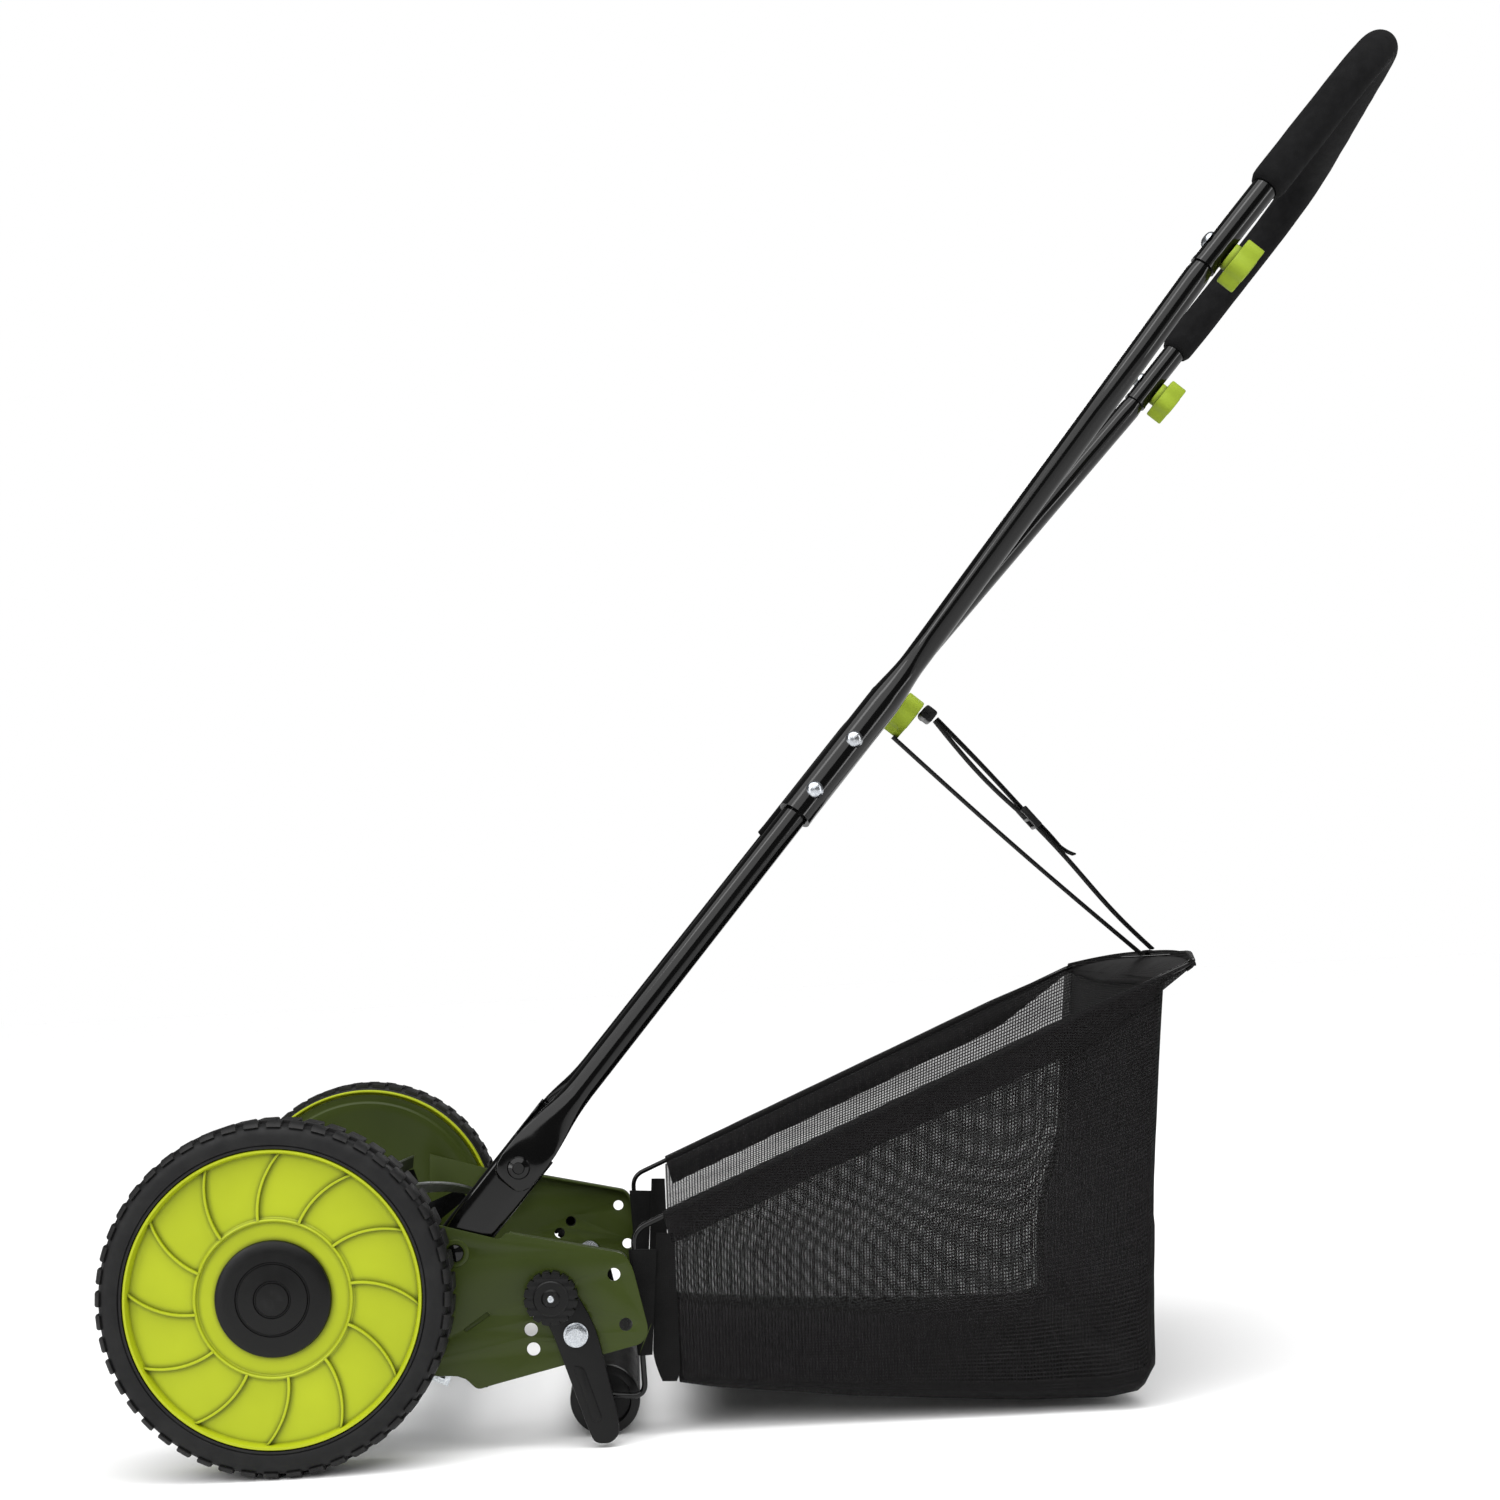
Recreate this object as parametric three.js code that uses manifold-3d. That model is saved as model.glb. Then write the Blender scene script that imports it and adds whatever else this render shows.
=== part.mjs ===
// Manual push reel lawn mower with a rear grass catcher, as an assembly of separate pieces.
// Units are millimetres. Inside the machine group the wheel axis is the origin: +X points to the
// rear, +Y to the right of the person pushing and +Z up. An "outboard" distance is measured from
// the middle plane towards either side, and side is -1 for the left and +1 for the right.
import * as THREE from 'three';
import { mergeVertices } from 'three/addons/utils/BufferGeometryUtils.js';
import Module from 'manifold-3d';

const wasm = await Module();
wasm.setup();

// ---------------------------------------------------------------- driving dimensions
const GAP = 0.3;
const SIDES = [[-1, 'left'], [1, 'right']];

const TYRE_RADIUS = 128;
const TYRE_INNER_FACE = 250;
const RIM_RADIUS = 107.5;
const WHEEL_FACE = 295;
const WEB_FACE = 287.5;
const WEB_THICKNESS = 4.5;
const LIP_RADIUS = 121.8;
const LIP_INNER_FACE = 240.4;
const RIB_COUNT = 12;
const RIB_START = 58;
const RIB_END = 104.5;
const RIB_SWEEP = THREE.MathUtils.degToRad(13.4);
const RIB_FIRST = THREE.MathUtils.degToRad(101.5);
const HUB_CAP_RADIUS = 42;
const AXLE_RADIUS = 9;
const WHEEL_SEGMENTS = 36;

const GEAR_MODULE = 2.5;
const RING_TEETH = 55;
const PINION_TEETH = 11;
const PRESSURE_ANGLE = THREE.MathUtils.degToRad(20);
const BACKLASH = 0.5;
const GEAR_FACE = [264, 284];

const PLATE_INNER = 237.5;
const PLATE_OUTER = 240;
const DRUM_RADIUS = 117.5;
const DRUM_FACE = 242.5;
const DRUM_SHOULDER = DRUM_FACE + GAP;
const SLOT_DEPTH = 1.3;

const REEL = { x: (RING_TEETH - PINION_TEETH) * GEAR_MODULE / 2, z: 0, radius: 61, root: 49.5, half: 214 };
const BLADE_COUNT = 5;
const BLADE_TWIST = THREE.MathUtils.degToRad(78);
const SHAFT_RADIUS = 8;
const SHAFT_JOURNAL = 6;
const KNIFE = { x: 87.6, z: -52.9, slope: THREE.MathUtils.degToRad(-21.5), length: 26, thickness: 2 };

const HANDLE_BOLT = { x: 173, z: 89 };
const HANDLE_SLOPE = THREE.MathUtils.degToRad(51.8);
const HANDLE_PIVOT = { x: 126, z: 26 };
const HANDLE_FOOT_HALF = 233;
const BRACKET_WEB = [231, 233.5];
const FOOT_FACES = [BRACKET_WEB[1] + GAP, BRACKET_WEB[1] + 7.5];
const FOOT_HALF_WIDTH = 16.5;
const SLEEVE_START = 345;
const WAIST = { along: 498, half: 110 };
const SHOULDER = { along: 780, half: 160 };
const UPPER_JOINT = 892;
const FOAM_START = 964;
const CROSSBAR = 1148;
const LOOP_CORNER = 75;
const RACK_ANGLE = THREE.MathUtils.degToRad(5.4);
const TUBE_RADIUS = 10.5;
const TUBE_WALL = 1.5;
const SLEEVE_RADIUS = 14;
const SPIGOT_RADIUS = 8.4;
const SPIGOT_LENGTH = 60;
const FOAM_RADIUS = 15;
const UPPER_BOLT = 912;
const CARRIAGE_BOLTS = [370, 423];
const BRACE = { along: 490, radius: 9, knobBelow: 9.6 };
const KNOB = { lobes: 5, radius: 18.4, lobe: 2, back: 5, front: 21, hub: 11 };

const ROLLER = { x: 237.2, z: -89.7, radius: 26.7, half: 205 };
const ROLLER_AXLE_RADIUS = 5;
const ARM_PIVOT = { x: 216, z: -33.6 };
const ARM_FACES = [PLATE_OUTER + 0.4, PLATE_OUTER + 5.4];
const HEIGHT_KNOB = { x: 197.7, z: -5.5, radius: 20, lobes: 16, notch: 2.2 };
const HEIGHT_HOLES = [123, 150, 175, 200];

const WIRE_RADIUS = 2.25;
const BAG_HALF = 217;
const BAG_WALL = 2.5;
const BAG_TOP_SLOPE = 0.481;
const CATCHER = {
  wireHalf: BAG_HALF + 3,
  hook: { x: 231, z: -82 },
  footFront: { x: 268, z: -84 },
  headFront: { x: 257, z: 40 },
  rearCorner: { x: 684, z: 243 },
  rimMiddle: { x: 706, z: 252 },
  frontX: 290,
  lipStart: 655,
};

// The strap swings about STRAP_PIVOT. Its ends are given up the handle (along) and away from its
// underside (below) from there, and its loop stays clear of the wire rim that it hangs from.
const STRAP_WIDTH = 15;
const STRAP_THICKNESS = 1.6;
const STRAP_PIVOT = { along: 491.4, below: 24.4 };
const STRAP_ENDS = { front: [-18.8, 9], rear: [17, 26] };
const STRAP_HOOK = { along: 17, below: 18, half: 6, halfWidth: 10 };
const RIM_CLEARANCE = 13;
const BUCKLE = { fromRear: 118, length: 19, depth: 5.6, half: 12 };

const REST_TILT = restTilt();

const COLOURS = {
  lime: [0xb5cc2e, 0.45, 0],
  olive: [0x3f5222, 0.45, 0.2],
  rubber: [0x1b1b1c, 0.85, 0],
  blackPaint: [0x0d0d0e, 0.28, 0.3],
  blackPlastic: [0x17181a, 0.55, 0],
  zinc: [0xb9bdc0, 0.3, 0.9],
  steel: [0x8e9295, 0.35, 0.9],
  foam: [0x151515, 0.95, 0],
  fabric: [0x101011, 0.95, 0],
};

// ---------------------------------------------------------------- placing
// The rest pose has the tyres and the roller on the same floor, so the machine leans back a little.
function restTilt() {
  const reach = Math.hypot(ROLLER.x, ROLLER.z);
  const level = Math.atan2(-ROLLER.z, ROLLER.x);
  return Math.asin((TYRE_RADIUS - ROLLER.radius) / reach) - level;
}

// A point of the handle: its distance up the slope from the foot bolts, its offset to the right and
// its height below the handle plane. The upper half of the handle sits slightly racked.
function handlePoint(along, across, below = 0) {
  const ramp = THREE.MathUtils.clamp((along - WAIST.along) / (UPPER_JOINT - WAIST.along), 0, 1);
  const drop = below + across * Math.sin(RACK_ANGLE) * ramp;
  return new THREE.Vector3(
    HANDLE_BOLT.x + along * Math.cos(HANDLE_SLOPE) + drop * Math.sin(HANDLE_SLOPE),
    across,
    HANDLE_BOLT.z + along * Math.sin(HANDLE_SLOPE) - drop * Math.cos(HANDLE_SLOPE),
  );
}

// Half the spread of the two handle legs at a distance up the slope.
function legHalf(along) {
  if (along < WAIST.along) {
    return THREE.MathUtils.mapLinear(along, 0, WAIST.along, HANDLE_FOOT_HALF, WAIST.half);
  }
  return THREE.MathUtils.mapLinear(Math.min(along, SHOULDER.along), WAIST.along, SHOULDER.along,
    WAIST.half, SHOULDER.half);
}

function legPoint(along, side, below = 0) {
  return handlePoint(along, side * legHalf(along), below);
}

// ---------------------------------------------------------------- solids
function toSolid(geometry) {
  const bare = new THREE.BufferGeometry();
  bare.setAttribute('position', geometry.getAttribute('position').clone());
  if (geometry.index) bare.setIndex(geometry.index.clone());
  const merged = mergeVertices(bare, 1e-3);
  const corners = merged.index.array;
  const kept = [];
  for (let i = 0; i < corners.length; i += 3) {
    const [a, b, c] = [corners[i], corners[i + 1], corners[i + 2]];
    if (a !== b && b !== c && c !== a) kept.push(a, b, c);
  }
  const mesh = new wasm.Mesh({
    numProp: 3,
    vertProperties: Float32Array.from(merged.getAttribute('position').array),
    triVerts: Uint32Array.from(kept),
  });
  return new wasm.Manifold(mesh);
}

function toGeometry(solid) {
  const mesh = solid.getMesh();
  const geometry = new THREE.BufferGeometry();
  geometry.setAttribute('position', new THREE.BufferAttribute(mesh.vertProperties, 3));
  geometry.setIndex(new THREE.BufferAttribute(mesh.triVerts, 1));
  geometry.computeVertexNormals();
  return geometry;
}

function join(...geometries) {
  return toGeometry(geometries.map(toSolid).reduce((whole, piece) => whole.add(piece)));
}

function cut(geometry, ...tools) {
  return toGeometry(tools.map(toSolid).reduce((whole, tool) => whole.subtract(tool), toSolid(geometry)));
}

// A closed profile of [radius, outboard] points turned about the Y axis and moved to (x, z).
function turned(profile, side = 1, segments = 24, x = 0, z = 0) {
  const points = profile.map(([radius, outboard]) => new THREE.Vector2(radius, side * outboard));
  if (THREE.ShapeUtils.area(points) < 0) points.reverse();
  const onAxis = points[0].x === 0 && points[points.length - 1].x === 0;
  if (!onAxis) points.push(points[0].clone());
  return new THREE.LatheGeometry(points, segments).translate(x, 0, z);
}

// A solid of revolution of [radius, outboard] steps that starts and ends on the axis.
function turnedPin(steps, side = 1, segments = 12, x = 0, z = 0) {
  const start = [0, steps[0][1]];
  const end = [0, steps[steps.length - 1][1]];
  const profile = [start, ...steps, end];
  const points = profile.map(([radius, outboard]) => new THREE.Vector2(radius, side * outboard));
  if (THREE.ShapeUtils.area(points) < 0) points.reverse();
  return new THREE.LatheGeometry(points, segments).translate(x, 0, z);
}

// A flat shape drawn in the X-Z plane and given thickness between two outboard distances.
function slab(shape, [inner, outer], side = 1, curveSegments = 6) {
  const depth = outer - inner;
  const geometry = new THREE.ExtrudeGeometry(shape, { depth, bevelEnabled: false, curveSegments });
  return geometry.rotateX(Math.PI / 2).translate(0, Math.max(side * inner, side * outer), 0);
}

// A closed shape through [x, z, radius] corners, each rounded by its radius.
function roundedShape(corners) {
  const shape = new THREE.Shape();
  corners.forEach(([x, z, radius = 0], i) => {
    const here = new THREE.Vector2(x, z);
    const before = new THREE.Vector2(...corners.at(i - 1).slice(0, 2));
    const after = new THREE.Vector2(...corners[(i + 1) % corners.length].slice(0, 2));
    const enter = here.clone().add(before.sub(here).setLength(radius));
    const leave = here.clone().add(after.sub(here).setLength(radius));
    if (i === 0) shape.moveTo(enter.x, enter.y);
    else shape.lineTo(enter.x, enter.y);
    if (radius > 0) shape.quadraticCurveTo(x, z, leave.x, leave.y);
  });
  shape.closePath();
  return shape;
}

function roundHole(shape, x, z, radius) {
  shape.holes.push(new THREE.Path().absarc(x, z, radius, 0, 2 * Math.PI, true));
}

function ringShape(outer, inner) {
  const shape = new THREE.Shape().absarc(0, 0, outer, 0, 2 * Math.PI, false);
  if (inner > 0) roundHole(shape, 0, 0, inner);
  return shape;
}

// A path for a sweep, with a station at each end of a straight and a few round each bend.
class Stations extends THREE.Curve {
  constructor(places, headings) {
    super();
    this.places = places;
    this.headings = headings;
  }

  getPointAt(share) {
    return this.places[Math.round(share * (this.places.length - 1))].clone();
  }

  getTangentAt(share) {
    return this.headings[Math.round(share * (this.headings.length - 1))].clone();
  }
}

// A path through 3-D corners that turns smoothly within a reach of each corner.
function bentPath(corners, reach, bendSteps = 4) {
  const places = [corners[0]];
  const headings = [corners[1].clone().sub(corners[0]).normalize()];
  for (let i = 1; i < corners.length - 1; i += 1) {
    const enter = corners[i - 1].clone().sub(corners[i]).setLength(reach).add(corners[i]);
    const leave = corners[i + 1].clone().sub(corners[i]).setLength(reach).add(corners[i]);
    const bend = new THREE.QuadraticBezierCurve3(enter, corners[i], leave);
    for (let step = 0; step <= bendSteps; step += 1) {
      places.push(bend.getPoint(step / bendSteps));
      headings.push(bend.getTangent(step / bendSteps));
    }
  }
  places.push(corners.at(-1));
  headings.push(corners.at(-1).clone().sub(corners.at(-2)).normalize());
  return new Stations(places, headings);
}

// A tube, or a solid bar when inner is 0, along a path.
function swept(path, outer, inner, around = 12) {
  return new THREE.ExtrudeGeometry(ringShape(outer, inner), {
    extrudePath: path, steps: path.places.length - 1, curveSegments: around / 2, bevelEnabled: false,
  });
}

function straightTube(from, to, outer, inner) {
  return swept(bentPath([from, to], 0), outer, inner);
}

// A pin of stepped radii about an axis that starts at a point and runs along a direction.
function pinAlong(origin, direction, steps, segments = 10) {
  const geometry = turnedPin(steps, 1, segments);
  const turn = new THREE.Quaternion().setFromUnitVectors(new THREE.Vector3(0, 1, 0), direction);
  return geometry.applyQuaternion(turn).translate(origin.x, origin.y, origin.z);
}

// ---------------------------------------------------------------- materials and nodes
const materials = Object.fromEntries(Object.entries(COLOURS).map(([name, [color, roughness, metalness]]) => (
  [name, { color, roughness, metalness }]
)));

const machine = new THREE.Group();

function addNode(name, geometry, finish) {
  const mesh = new THREE.Mesh(geometry, new THREE.MeshStandardMaterial(materials[finish]));
  mesh.name = name;
  machine.add(mesh);
}

// ---------------------------------------------------------------- wheels
function involute(angle) {
  return Math.tan(angle) - angle;
}

// Half the angle that a gear tooth fills at a radius.
function toothHalfAngle(teeth, radius, play) {
  const pitch = teeth * GEAR_MODULE / 2;
  const base = pitch * Math.cos(PRESSURE_ANGLE);
  const atRadius = Math.acos(Math.min(1, base / radius));
  return Math.PI / (2 * teeth) + play / (2 * pitch) + involute(PRESSURE_ANGLE) - involute(atRadius);
}

function gearPoints(teeth, radii, play) {
  const points = [];
  for (let tooth = 0; tooth < teeth; tooth += 1) {
    const middle = tooth * 2 * Math.PI / teeth;
    const rising = radii.map((radius) => [radius, middle - toothHalfAngle(teeth, radius, play)]);
    const falling = radii.map((radius) => [radius, middle + toothHalfAngle(teeth, radius, play)]).reverse();
    for (const [radius, angle] of [...rising, ...falling]) {
      points.push(new THREE.Vector2(radius * Math.cos(angle), radius * Math.sin(angle)));
    }
  }
  return points;
}

function ringGear(side) {
  const pitch = RING_TEETH * GEAR_MODULE / 2;
  const shape = ringShape(pitch + 7.25, 0);
  shape.holes.push(new THREE.Path(gearPoints(RING_TEETH, [pitch - 1.7, pitch + 2.3], BACKLASH)));
  return slab(shape, GEAR_FACE, side, 20);
}

// The ribs start nearly radial at the hub ring and sweep round towards the rim.
function wheelRib(index, side) {
  const points = [];
  const stations = 2;
  const halfWidth = 1.25;
  const edge = (station, offset) => {
    const share = station / stations;
    const radius = THREE.MathUtils.lerp(RIB_START - 1, RIB_END, share);
    const angle = RIB_FIRST + index * 2 * Math.PI / RIB_COUNT - RIB_SWEEP * share ** 1.5;
    points.push(new THREE.Vector2(radius, 0).rotateAround(new THREE.Vector2(), angle + offset / radius));
  };
  for (let station = 0; station <= stations; station += 1) edge(station, -halfWidth);
  for (let station = stations; station >= 0; station -= 1) edge(station, halfWidth);
  if (side > 0) points.forEach((point) => point.setX(-point.x));
  return slab(new THREE.Shape(points), [WEB_FACE - 1, WEB_FACE + 3.5], side);
}

function wheelDisc(side) {
  const webBack = WEB_FACE - WEB_THICKNESS;
  const bore = AXLE_RADIUS + GAP;
  const profile = [
    [bore, 246], [22, 246], [22, webBack], [100, webBack], [100, 246], [119.6, 246],
    [119.6, LIP_INNER_FACE], [LIP_RADIUS, LIP_INNER_FACE], [LIP_RADIUS, TYRE_INNER_FACE - GAP],
    [RIM_RADIUS, TYRE_INNER_FACE - GAP], [RIM_RADIUS, WHEEL_FACE], [RIM_RADIUS - 3.5, WHEEL_FACE],
    [RIM_RADIUS - 3.5, WEB_FACE], [RIB_START, WEB_FACE], [RIB_START - 1, WEB_FACE + 3],
    [RIB_START - 3, WEB_FACE], [bore, WEB_FACE],
  ];
  const ribs = Array.from({ length: RIB_COUNT }, (_, index) => wheelRib(index, side));
  return join(turned(profile, side, WHEEL_SEGMENTS), ringGear(side), ...ribs);
}

function tyre(side) {
  const profile = [
    [RIM_RADIUS + GAP, TYRE_INNER_FACE], [125.5, TYRE_INNER_FACE], [TYRE_RADIUS, 253.5],
    [TYRE_RADIUS, 288], [124, 292.5], [RIM_RADIUS + GAP, WHEEL_FACE],
  ];
  return turned(profile, side, WHEEL_SEGMENTS);
}

function hubCap(side) {
  const seat = WEB_FACE + GAP;
  return turnedPin([[40, seat], [HUB_CAP_RADIUS, seat + 1.5], [41, seat + 4], [34, seat + 6.2]], side, 24);
}

function wheelAxle(side) {
  const shank = AXLE_RADIUS;
  const seat = PLATE_INNER - GAP;
  return turnedPin([
    [13, seat - 5], [13, seat], [shank, seat], [shank, DRUM_SHOULDER], [12, DRUM_SHOULDER],
    [12, 245.7], [shank, 245.7], [shank, WEB_FACE - 1.5],
  ], side);
}

// ---------------------------------------------------------------- side plates
function plateOutline() {
  return roundedShape([
    [-84, 0, 20], [-40, -72, 20], [96, -66, 10], [130, -65, 6], [141, -75, 4], [156, -71, 3],
    [266, -41, 5], [270, -31, 5], [258, 15, 4], [252, 25.5, 6], [164, 41, 1], [160, 36.5, 1],
    [104, 47, 10], [-72, 80, 25],
  ]);
}

// The folded edge along the top, rear and bottom of the plate's tail.
function plateFlange(side) {
  const outer = [[166, 40.4], [250, 25.3], [256.5, 15], [268, -31], [263.5, -41.2], [160, -69.2]];
  const inner = [[160, -67], [261.5, -39], [265.6, -31], [254.2, 14.2], [248.6, 23.2], [166, 38]];
  const strip = new THREE.Shape([...outer, ...inner].map(([x, z]) => new THREE.Vector2(x, z)));
  return slab(strip, [PLATE_INNER - 11, PLATE_INNER + 1], side);
}

function sidePlate(side) {
  const holes = [
    [0, 0, AXLE_RADIUS + 2 * GAP], [REEL.x, REEL.z, 16], [HANDLE_PIVOT.x, HANDLE_PIVOT.z, 4.5 + GAP],
    [ARM_PIVOT.x, ARM_PIVOT.z, 6 + GAP], [244, 10, 4.8], [253, -27, 4.9],
    ...HEIGHT_HOLES.map((degrees) => {
      const angle = THREE.MathUtils.degToRad(degrees);
      const reach = Math.hypot(HEIGHT_KNOB.x - ARM_PIVOT.x, HEIGHT_KNOB.z - ARM_PIVOT.z);
      return [ARM_PIVOT.x + reach * Math.cos(angle), ARM_PIVOT.z + reach * Math.sin(angle), 5];
    }),
  ];
  const plate = join(
    slab(plateOutline(), [PLATE_INNER, PLATE_OUTER], side, 3),
    slab(ringShape(DRUM_RADIUS, 0), [PLATE_OUTER - 0.5, DRUM_FACE], side, 18),
    plateFlange(side),
  );
  const slot = slab(roundedShape([[131, -29, 1], [134, -32.5, 1], [153, -20.5, 1], [150, -17, 1]]),
    [PLATE_OUTER - SLOT_DEPTH, DRUM_FACE + 1], side, 1);
  const drills = holes.map(([x, z, radius]) => (
    turnedPin([[radius, PLATE_INNER - 1], [radius, DRUM_FACE + 1]], side, 10, x, z)
  ));
  return cut(plate, slot, ...drills);
}

function addSide(side, name) {
  addNode(`side_plate_${name}`, sidePlate(side), 'olive');
  addNode(`wheel_axle_${name}`, wheelAxle(side), 'zinc');
  addNode(`wheel_${name}`, wheelDisc(side), 'lime');
  addNode(`tyre_${name}`, tyre(side), 'rubber');
  addNode(`hub_cap_${name}`, hubCap(side), 'blackPlastic');
}

// ---------------------------------------------------------------- reel and its drive
function reelShaft() {
  const [shoulder, end] = [242, 281];
  return turnedPin([
    [SHAFT_JOURNAL, -end], [SHAFT_JOURNAL, -shoulder], [SHAFT_RADIUS, -shoulder],
    [SHAFT_RADIUS, shoulder], [SHAFT_JOURNAL, shoulder], [SHAFT_JOURNAL, end],
  ], 1, 16, REEL.x, REEL.z);
}

// Where a blade stands round the reel at a distance along it.
function bladeAngle(index, y) {
  return Math.PI / 2 - ((index + 0.3) * 2 * Math.PI / BLADE_COUNT + BLADE_TWIST * y / (2 * REEL.half));
}

// A flat bar between the root and tip radii, twisted along the reel.
function reelBlade(index) {
  const bar = roundedShape([[-1.5, REEL.root], [1.5, REEL.root], [4, REEL.radius], [1.6, REEL.radius]]);
  const geometry = new THREE.ExtrudeGeometry(bar, { depth: 2 * REEL.half, steps: 14, bevelEnabled: false });
  geometry.rotateX(Math.PI / 2).translate(0, REEL.half, 0);
  const position = geometry.getAttribute('position');
  const point = new THREE.Vector3();
  const axis = new THREE.Vector3(0, 1, 0);
  for (let i = 0; i < position.count; i += 1) {
    point.fromBufferAttribute(position, i);
    point.applyAxisAngle(axis, Math.PI / 2 - bladeAngle(index, point.y));
    position.setXYZ(i, point.x, point.y, point.z);
  }
  return geometry.translate(REEL.x, 0, REEL.z);
}

// A five-armed star that carries the blades.
function reelSpider(y) {
  const corners = [];
  for (let i = BLADE_COUNT - 1; i >= 0; i -= 1) {
    const angle = bladeAngle(i, y);
    const ray = (radius, turn) => [radius * Math.cos(angle + turn), radius * Math.sin(angle + turn), 0];
    corners.push(ray(REEL.root - GAP, -0.11), ray(REEL.root - GAP, 0.11), ray(17, Math.PI / BLADE_COUNT));
  }
  const shape = roundedShape(corners);
  roundHole(shape, 0, 0, SHAFT_RADIUS + GAP);
  return slab(shape, [y - 2, y + 2]).translate(REEL.x, 0, REEL.z);
}

function reelBearing(side) {
  const bore = SHAFT_RADIUS + 2 * GAP;
  return turned([[bore, 234], [15, 234], [15, 241.5], [bore, 241.5]], side, 12, REEL.x, REEL.z);
}

function drivePinion(side) {
  const pitch = PINION_TEETH * GEAR_MODULE / 2;
  const gear = new THREE.Shape(gearPoints(PINION_TEETH, [pitch - 2.5, pitch, pitch + 2], -BACKLASH));
  const hub = slab(ringShape(pitch - 2.6, 0), [243.5, 266], side, 6);
  const bore = turnedPin([[SHAFT_JOURNAL + GAP, 243], [SHAFT_JOURNAL + GAP, 281]], side, 12);
  return cut(join(slab(gear, [265.5, 279.5], side), hub), bore).translate(REEL.x, 0, REEL.z);
}

function addReel() {
  addNode('reel_shaft', reelShaft(), 'steel');
  for (let i = 0; i < BLADE_COUNT; i += 1) addNode(`reel_blade_${i + 1}`, reelBlade(i), 'blackPaint');
  [['left', -200], ['middle', 0], ['right', 200]].forEach(([name, y]) => {
    addNode(`reel_spider_${name}`, reelSpider(y), 'blackPaint');
  });
  for (const [side, name] of SIDES) {
    addNode(`reel_bearing_${name}`, reelBearing(side), 'steel');
    addNode(`drive_pinion_${name}`, drivePinion(side), 'steel');
  }
}

// ---------------------------------------------------------------- fixed cross members
// A point beside the bed knife: its distance back from the cutting edge and its depth below the top.
function knifePoint(back, below) {
  const [cos, sin] = [Math.cos(KNIFE.slope), Math.sin(KNIFE.slope)];
  return [KNIFE.x + back * cos + below * sin, KNIFE.z + back * sin - below * cos];
}

function addCrossMembers() {
  const half = PLATE_INNER - GAP;
  const { length, thickness } = KNIFE;
  const knife = [
    knifePoint(0, 0), knifePoint(length, 0), knifePoint(length, thickness), knifePoint(2, thickness),
  ];
  const bar = [
    knifePoint(3, thickness + GAP), knifePoint(34, thickness + GAP), knifePoint(34, -14),
    knifePoint(38, -14), knifePoint(38, 6.3), knifePoint(5, 6.3),
  ];
  addNode('bed_knife', slab(roundedShape(knife), [-half, half]), 'steel');
  addNode('bed_knife_bar', slab(roundedShape(bar), [-half, half]), 'zinc');
  addNode('tie_rod', turned([[5, -half], [8, -half], [8, half], [5, half]], 1, 12, -52, -12), 'blackPaint');
}

// ---------------------------------------------------------------- handle
// A flat shape in handle coordinates (along, below) turned into an X-Z shape.
function onHandle(corners) {
  return roundedShape(corners.map(([along, below, radius]) => {
    const point = handlePoint(along, 0, below);
    return [point.x, point.z, radius];
  }));
}

function crossHole(outboard, radius, point, side) {
  return turnedPin([[radius, outboard[0]], [radius, outboard[1]]], side, 8, point.x, point.z);
}

// The pressed channel that the handle is bolted to, with the stud that it pivots on.
function handleBracket(side) {
  const web = slab(onHandle([[-96, -17, 8], [18, -17, 3], [18, 17, 3], [-96, 17, 8]]), BRACKET_WEB, side, 3);
  const flanges = [-17, 14.8].map((below) => (
    slab(onHandle([[-80, below], [16, below], [16, below + 2.2], [-80, below + 2.2]]),
      [BRACKET_WEB[0] - 9, BRACKET_WEB[0] + 0.5], side)
  ));
  const pivot = turnedPin([
    [7, BRACKET_WEB[0] - 3], [7, BRACKET_WEB[0] + 1], [4.5, BRACKET_WEB[0] + 1], [4.5, PLATE_OUTER + GAP],
    [6, PLATE_OUTER + GAP], [6, PLATE_OUTER + 2.5],
  ], side, 12, HANDLE_PIVOT.x, HANDLE_PIVOT.z);
  return cut(join(web, ...flanges, pivot),
    crossHole([BRACKET_WEB[0] - 1, BRACKET_WEB[1] + 1], 4 + GAP, HANDLE_BOLT, side));
}

function bracketBolt(side) {
  const [inner, outer] = [BRACKET_WEB[0] - GAP, FOOT_FACES[1] + GAP];
  return turnedPin([[7, inner - 5], [7, inner], [4, inner], [4, outer], [8, outer], [6, outer + 3.5]],
    side, 12, HANDLE_BOLT.x, HANDLE_BOLT.z);
}

// The lower tube has a flattened foot that lies against the bracket.
function lowerTube(side) {
  const [start, end] = [legPoint(20, side), legPoint(SLEEVE_START + 98, side)];
  const tube = straightTube(start, end, TUBE_RADIUS, TUBE_RADIUS - TUBE_WALL);
  const wide = FOOT_HALF_WIDTH;
  const foot = slab(onHandle([
    [-15, -wide, 8], [24, -wide, 2], [42, -TUBE_RADIUS, 2],
    [42, TUBE_RADIUS, 2], [24, wide, 2], [-15, wide, 8],
  ]), FOOT_FACES, side, 3);
  const boltHole = crossHole([FOOT_FACES[0] - 1, FOOT_FACES[1] + 1], 4 + GAP, HANDLE_BOLT, side);
  return cut(join(tube, foot), boltHole, ...CARRIAGE_BOLTS.map((along) => sideHole(along, side)));
}

function sideHole(along, side) {
  const half = legHalf(along);
  return crossHole([half - 20, half + 20], 3.2 + GAP, legPoint(along, side), side);
}

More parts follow.
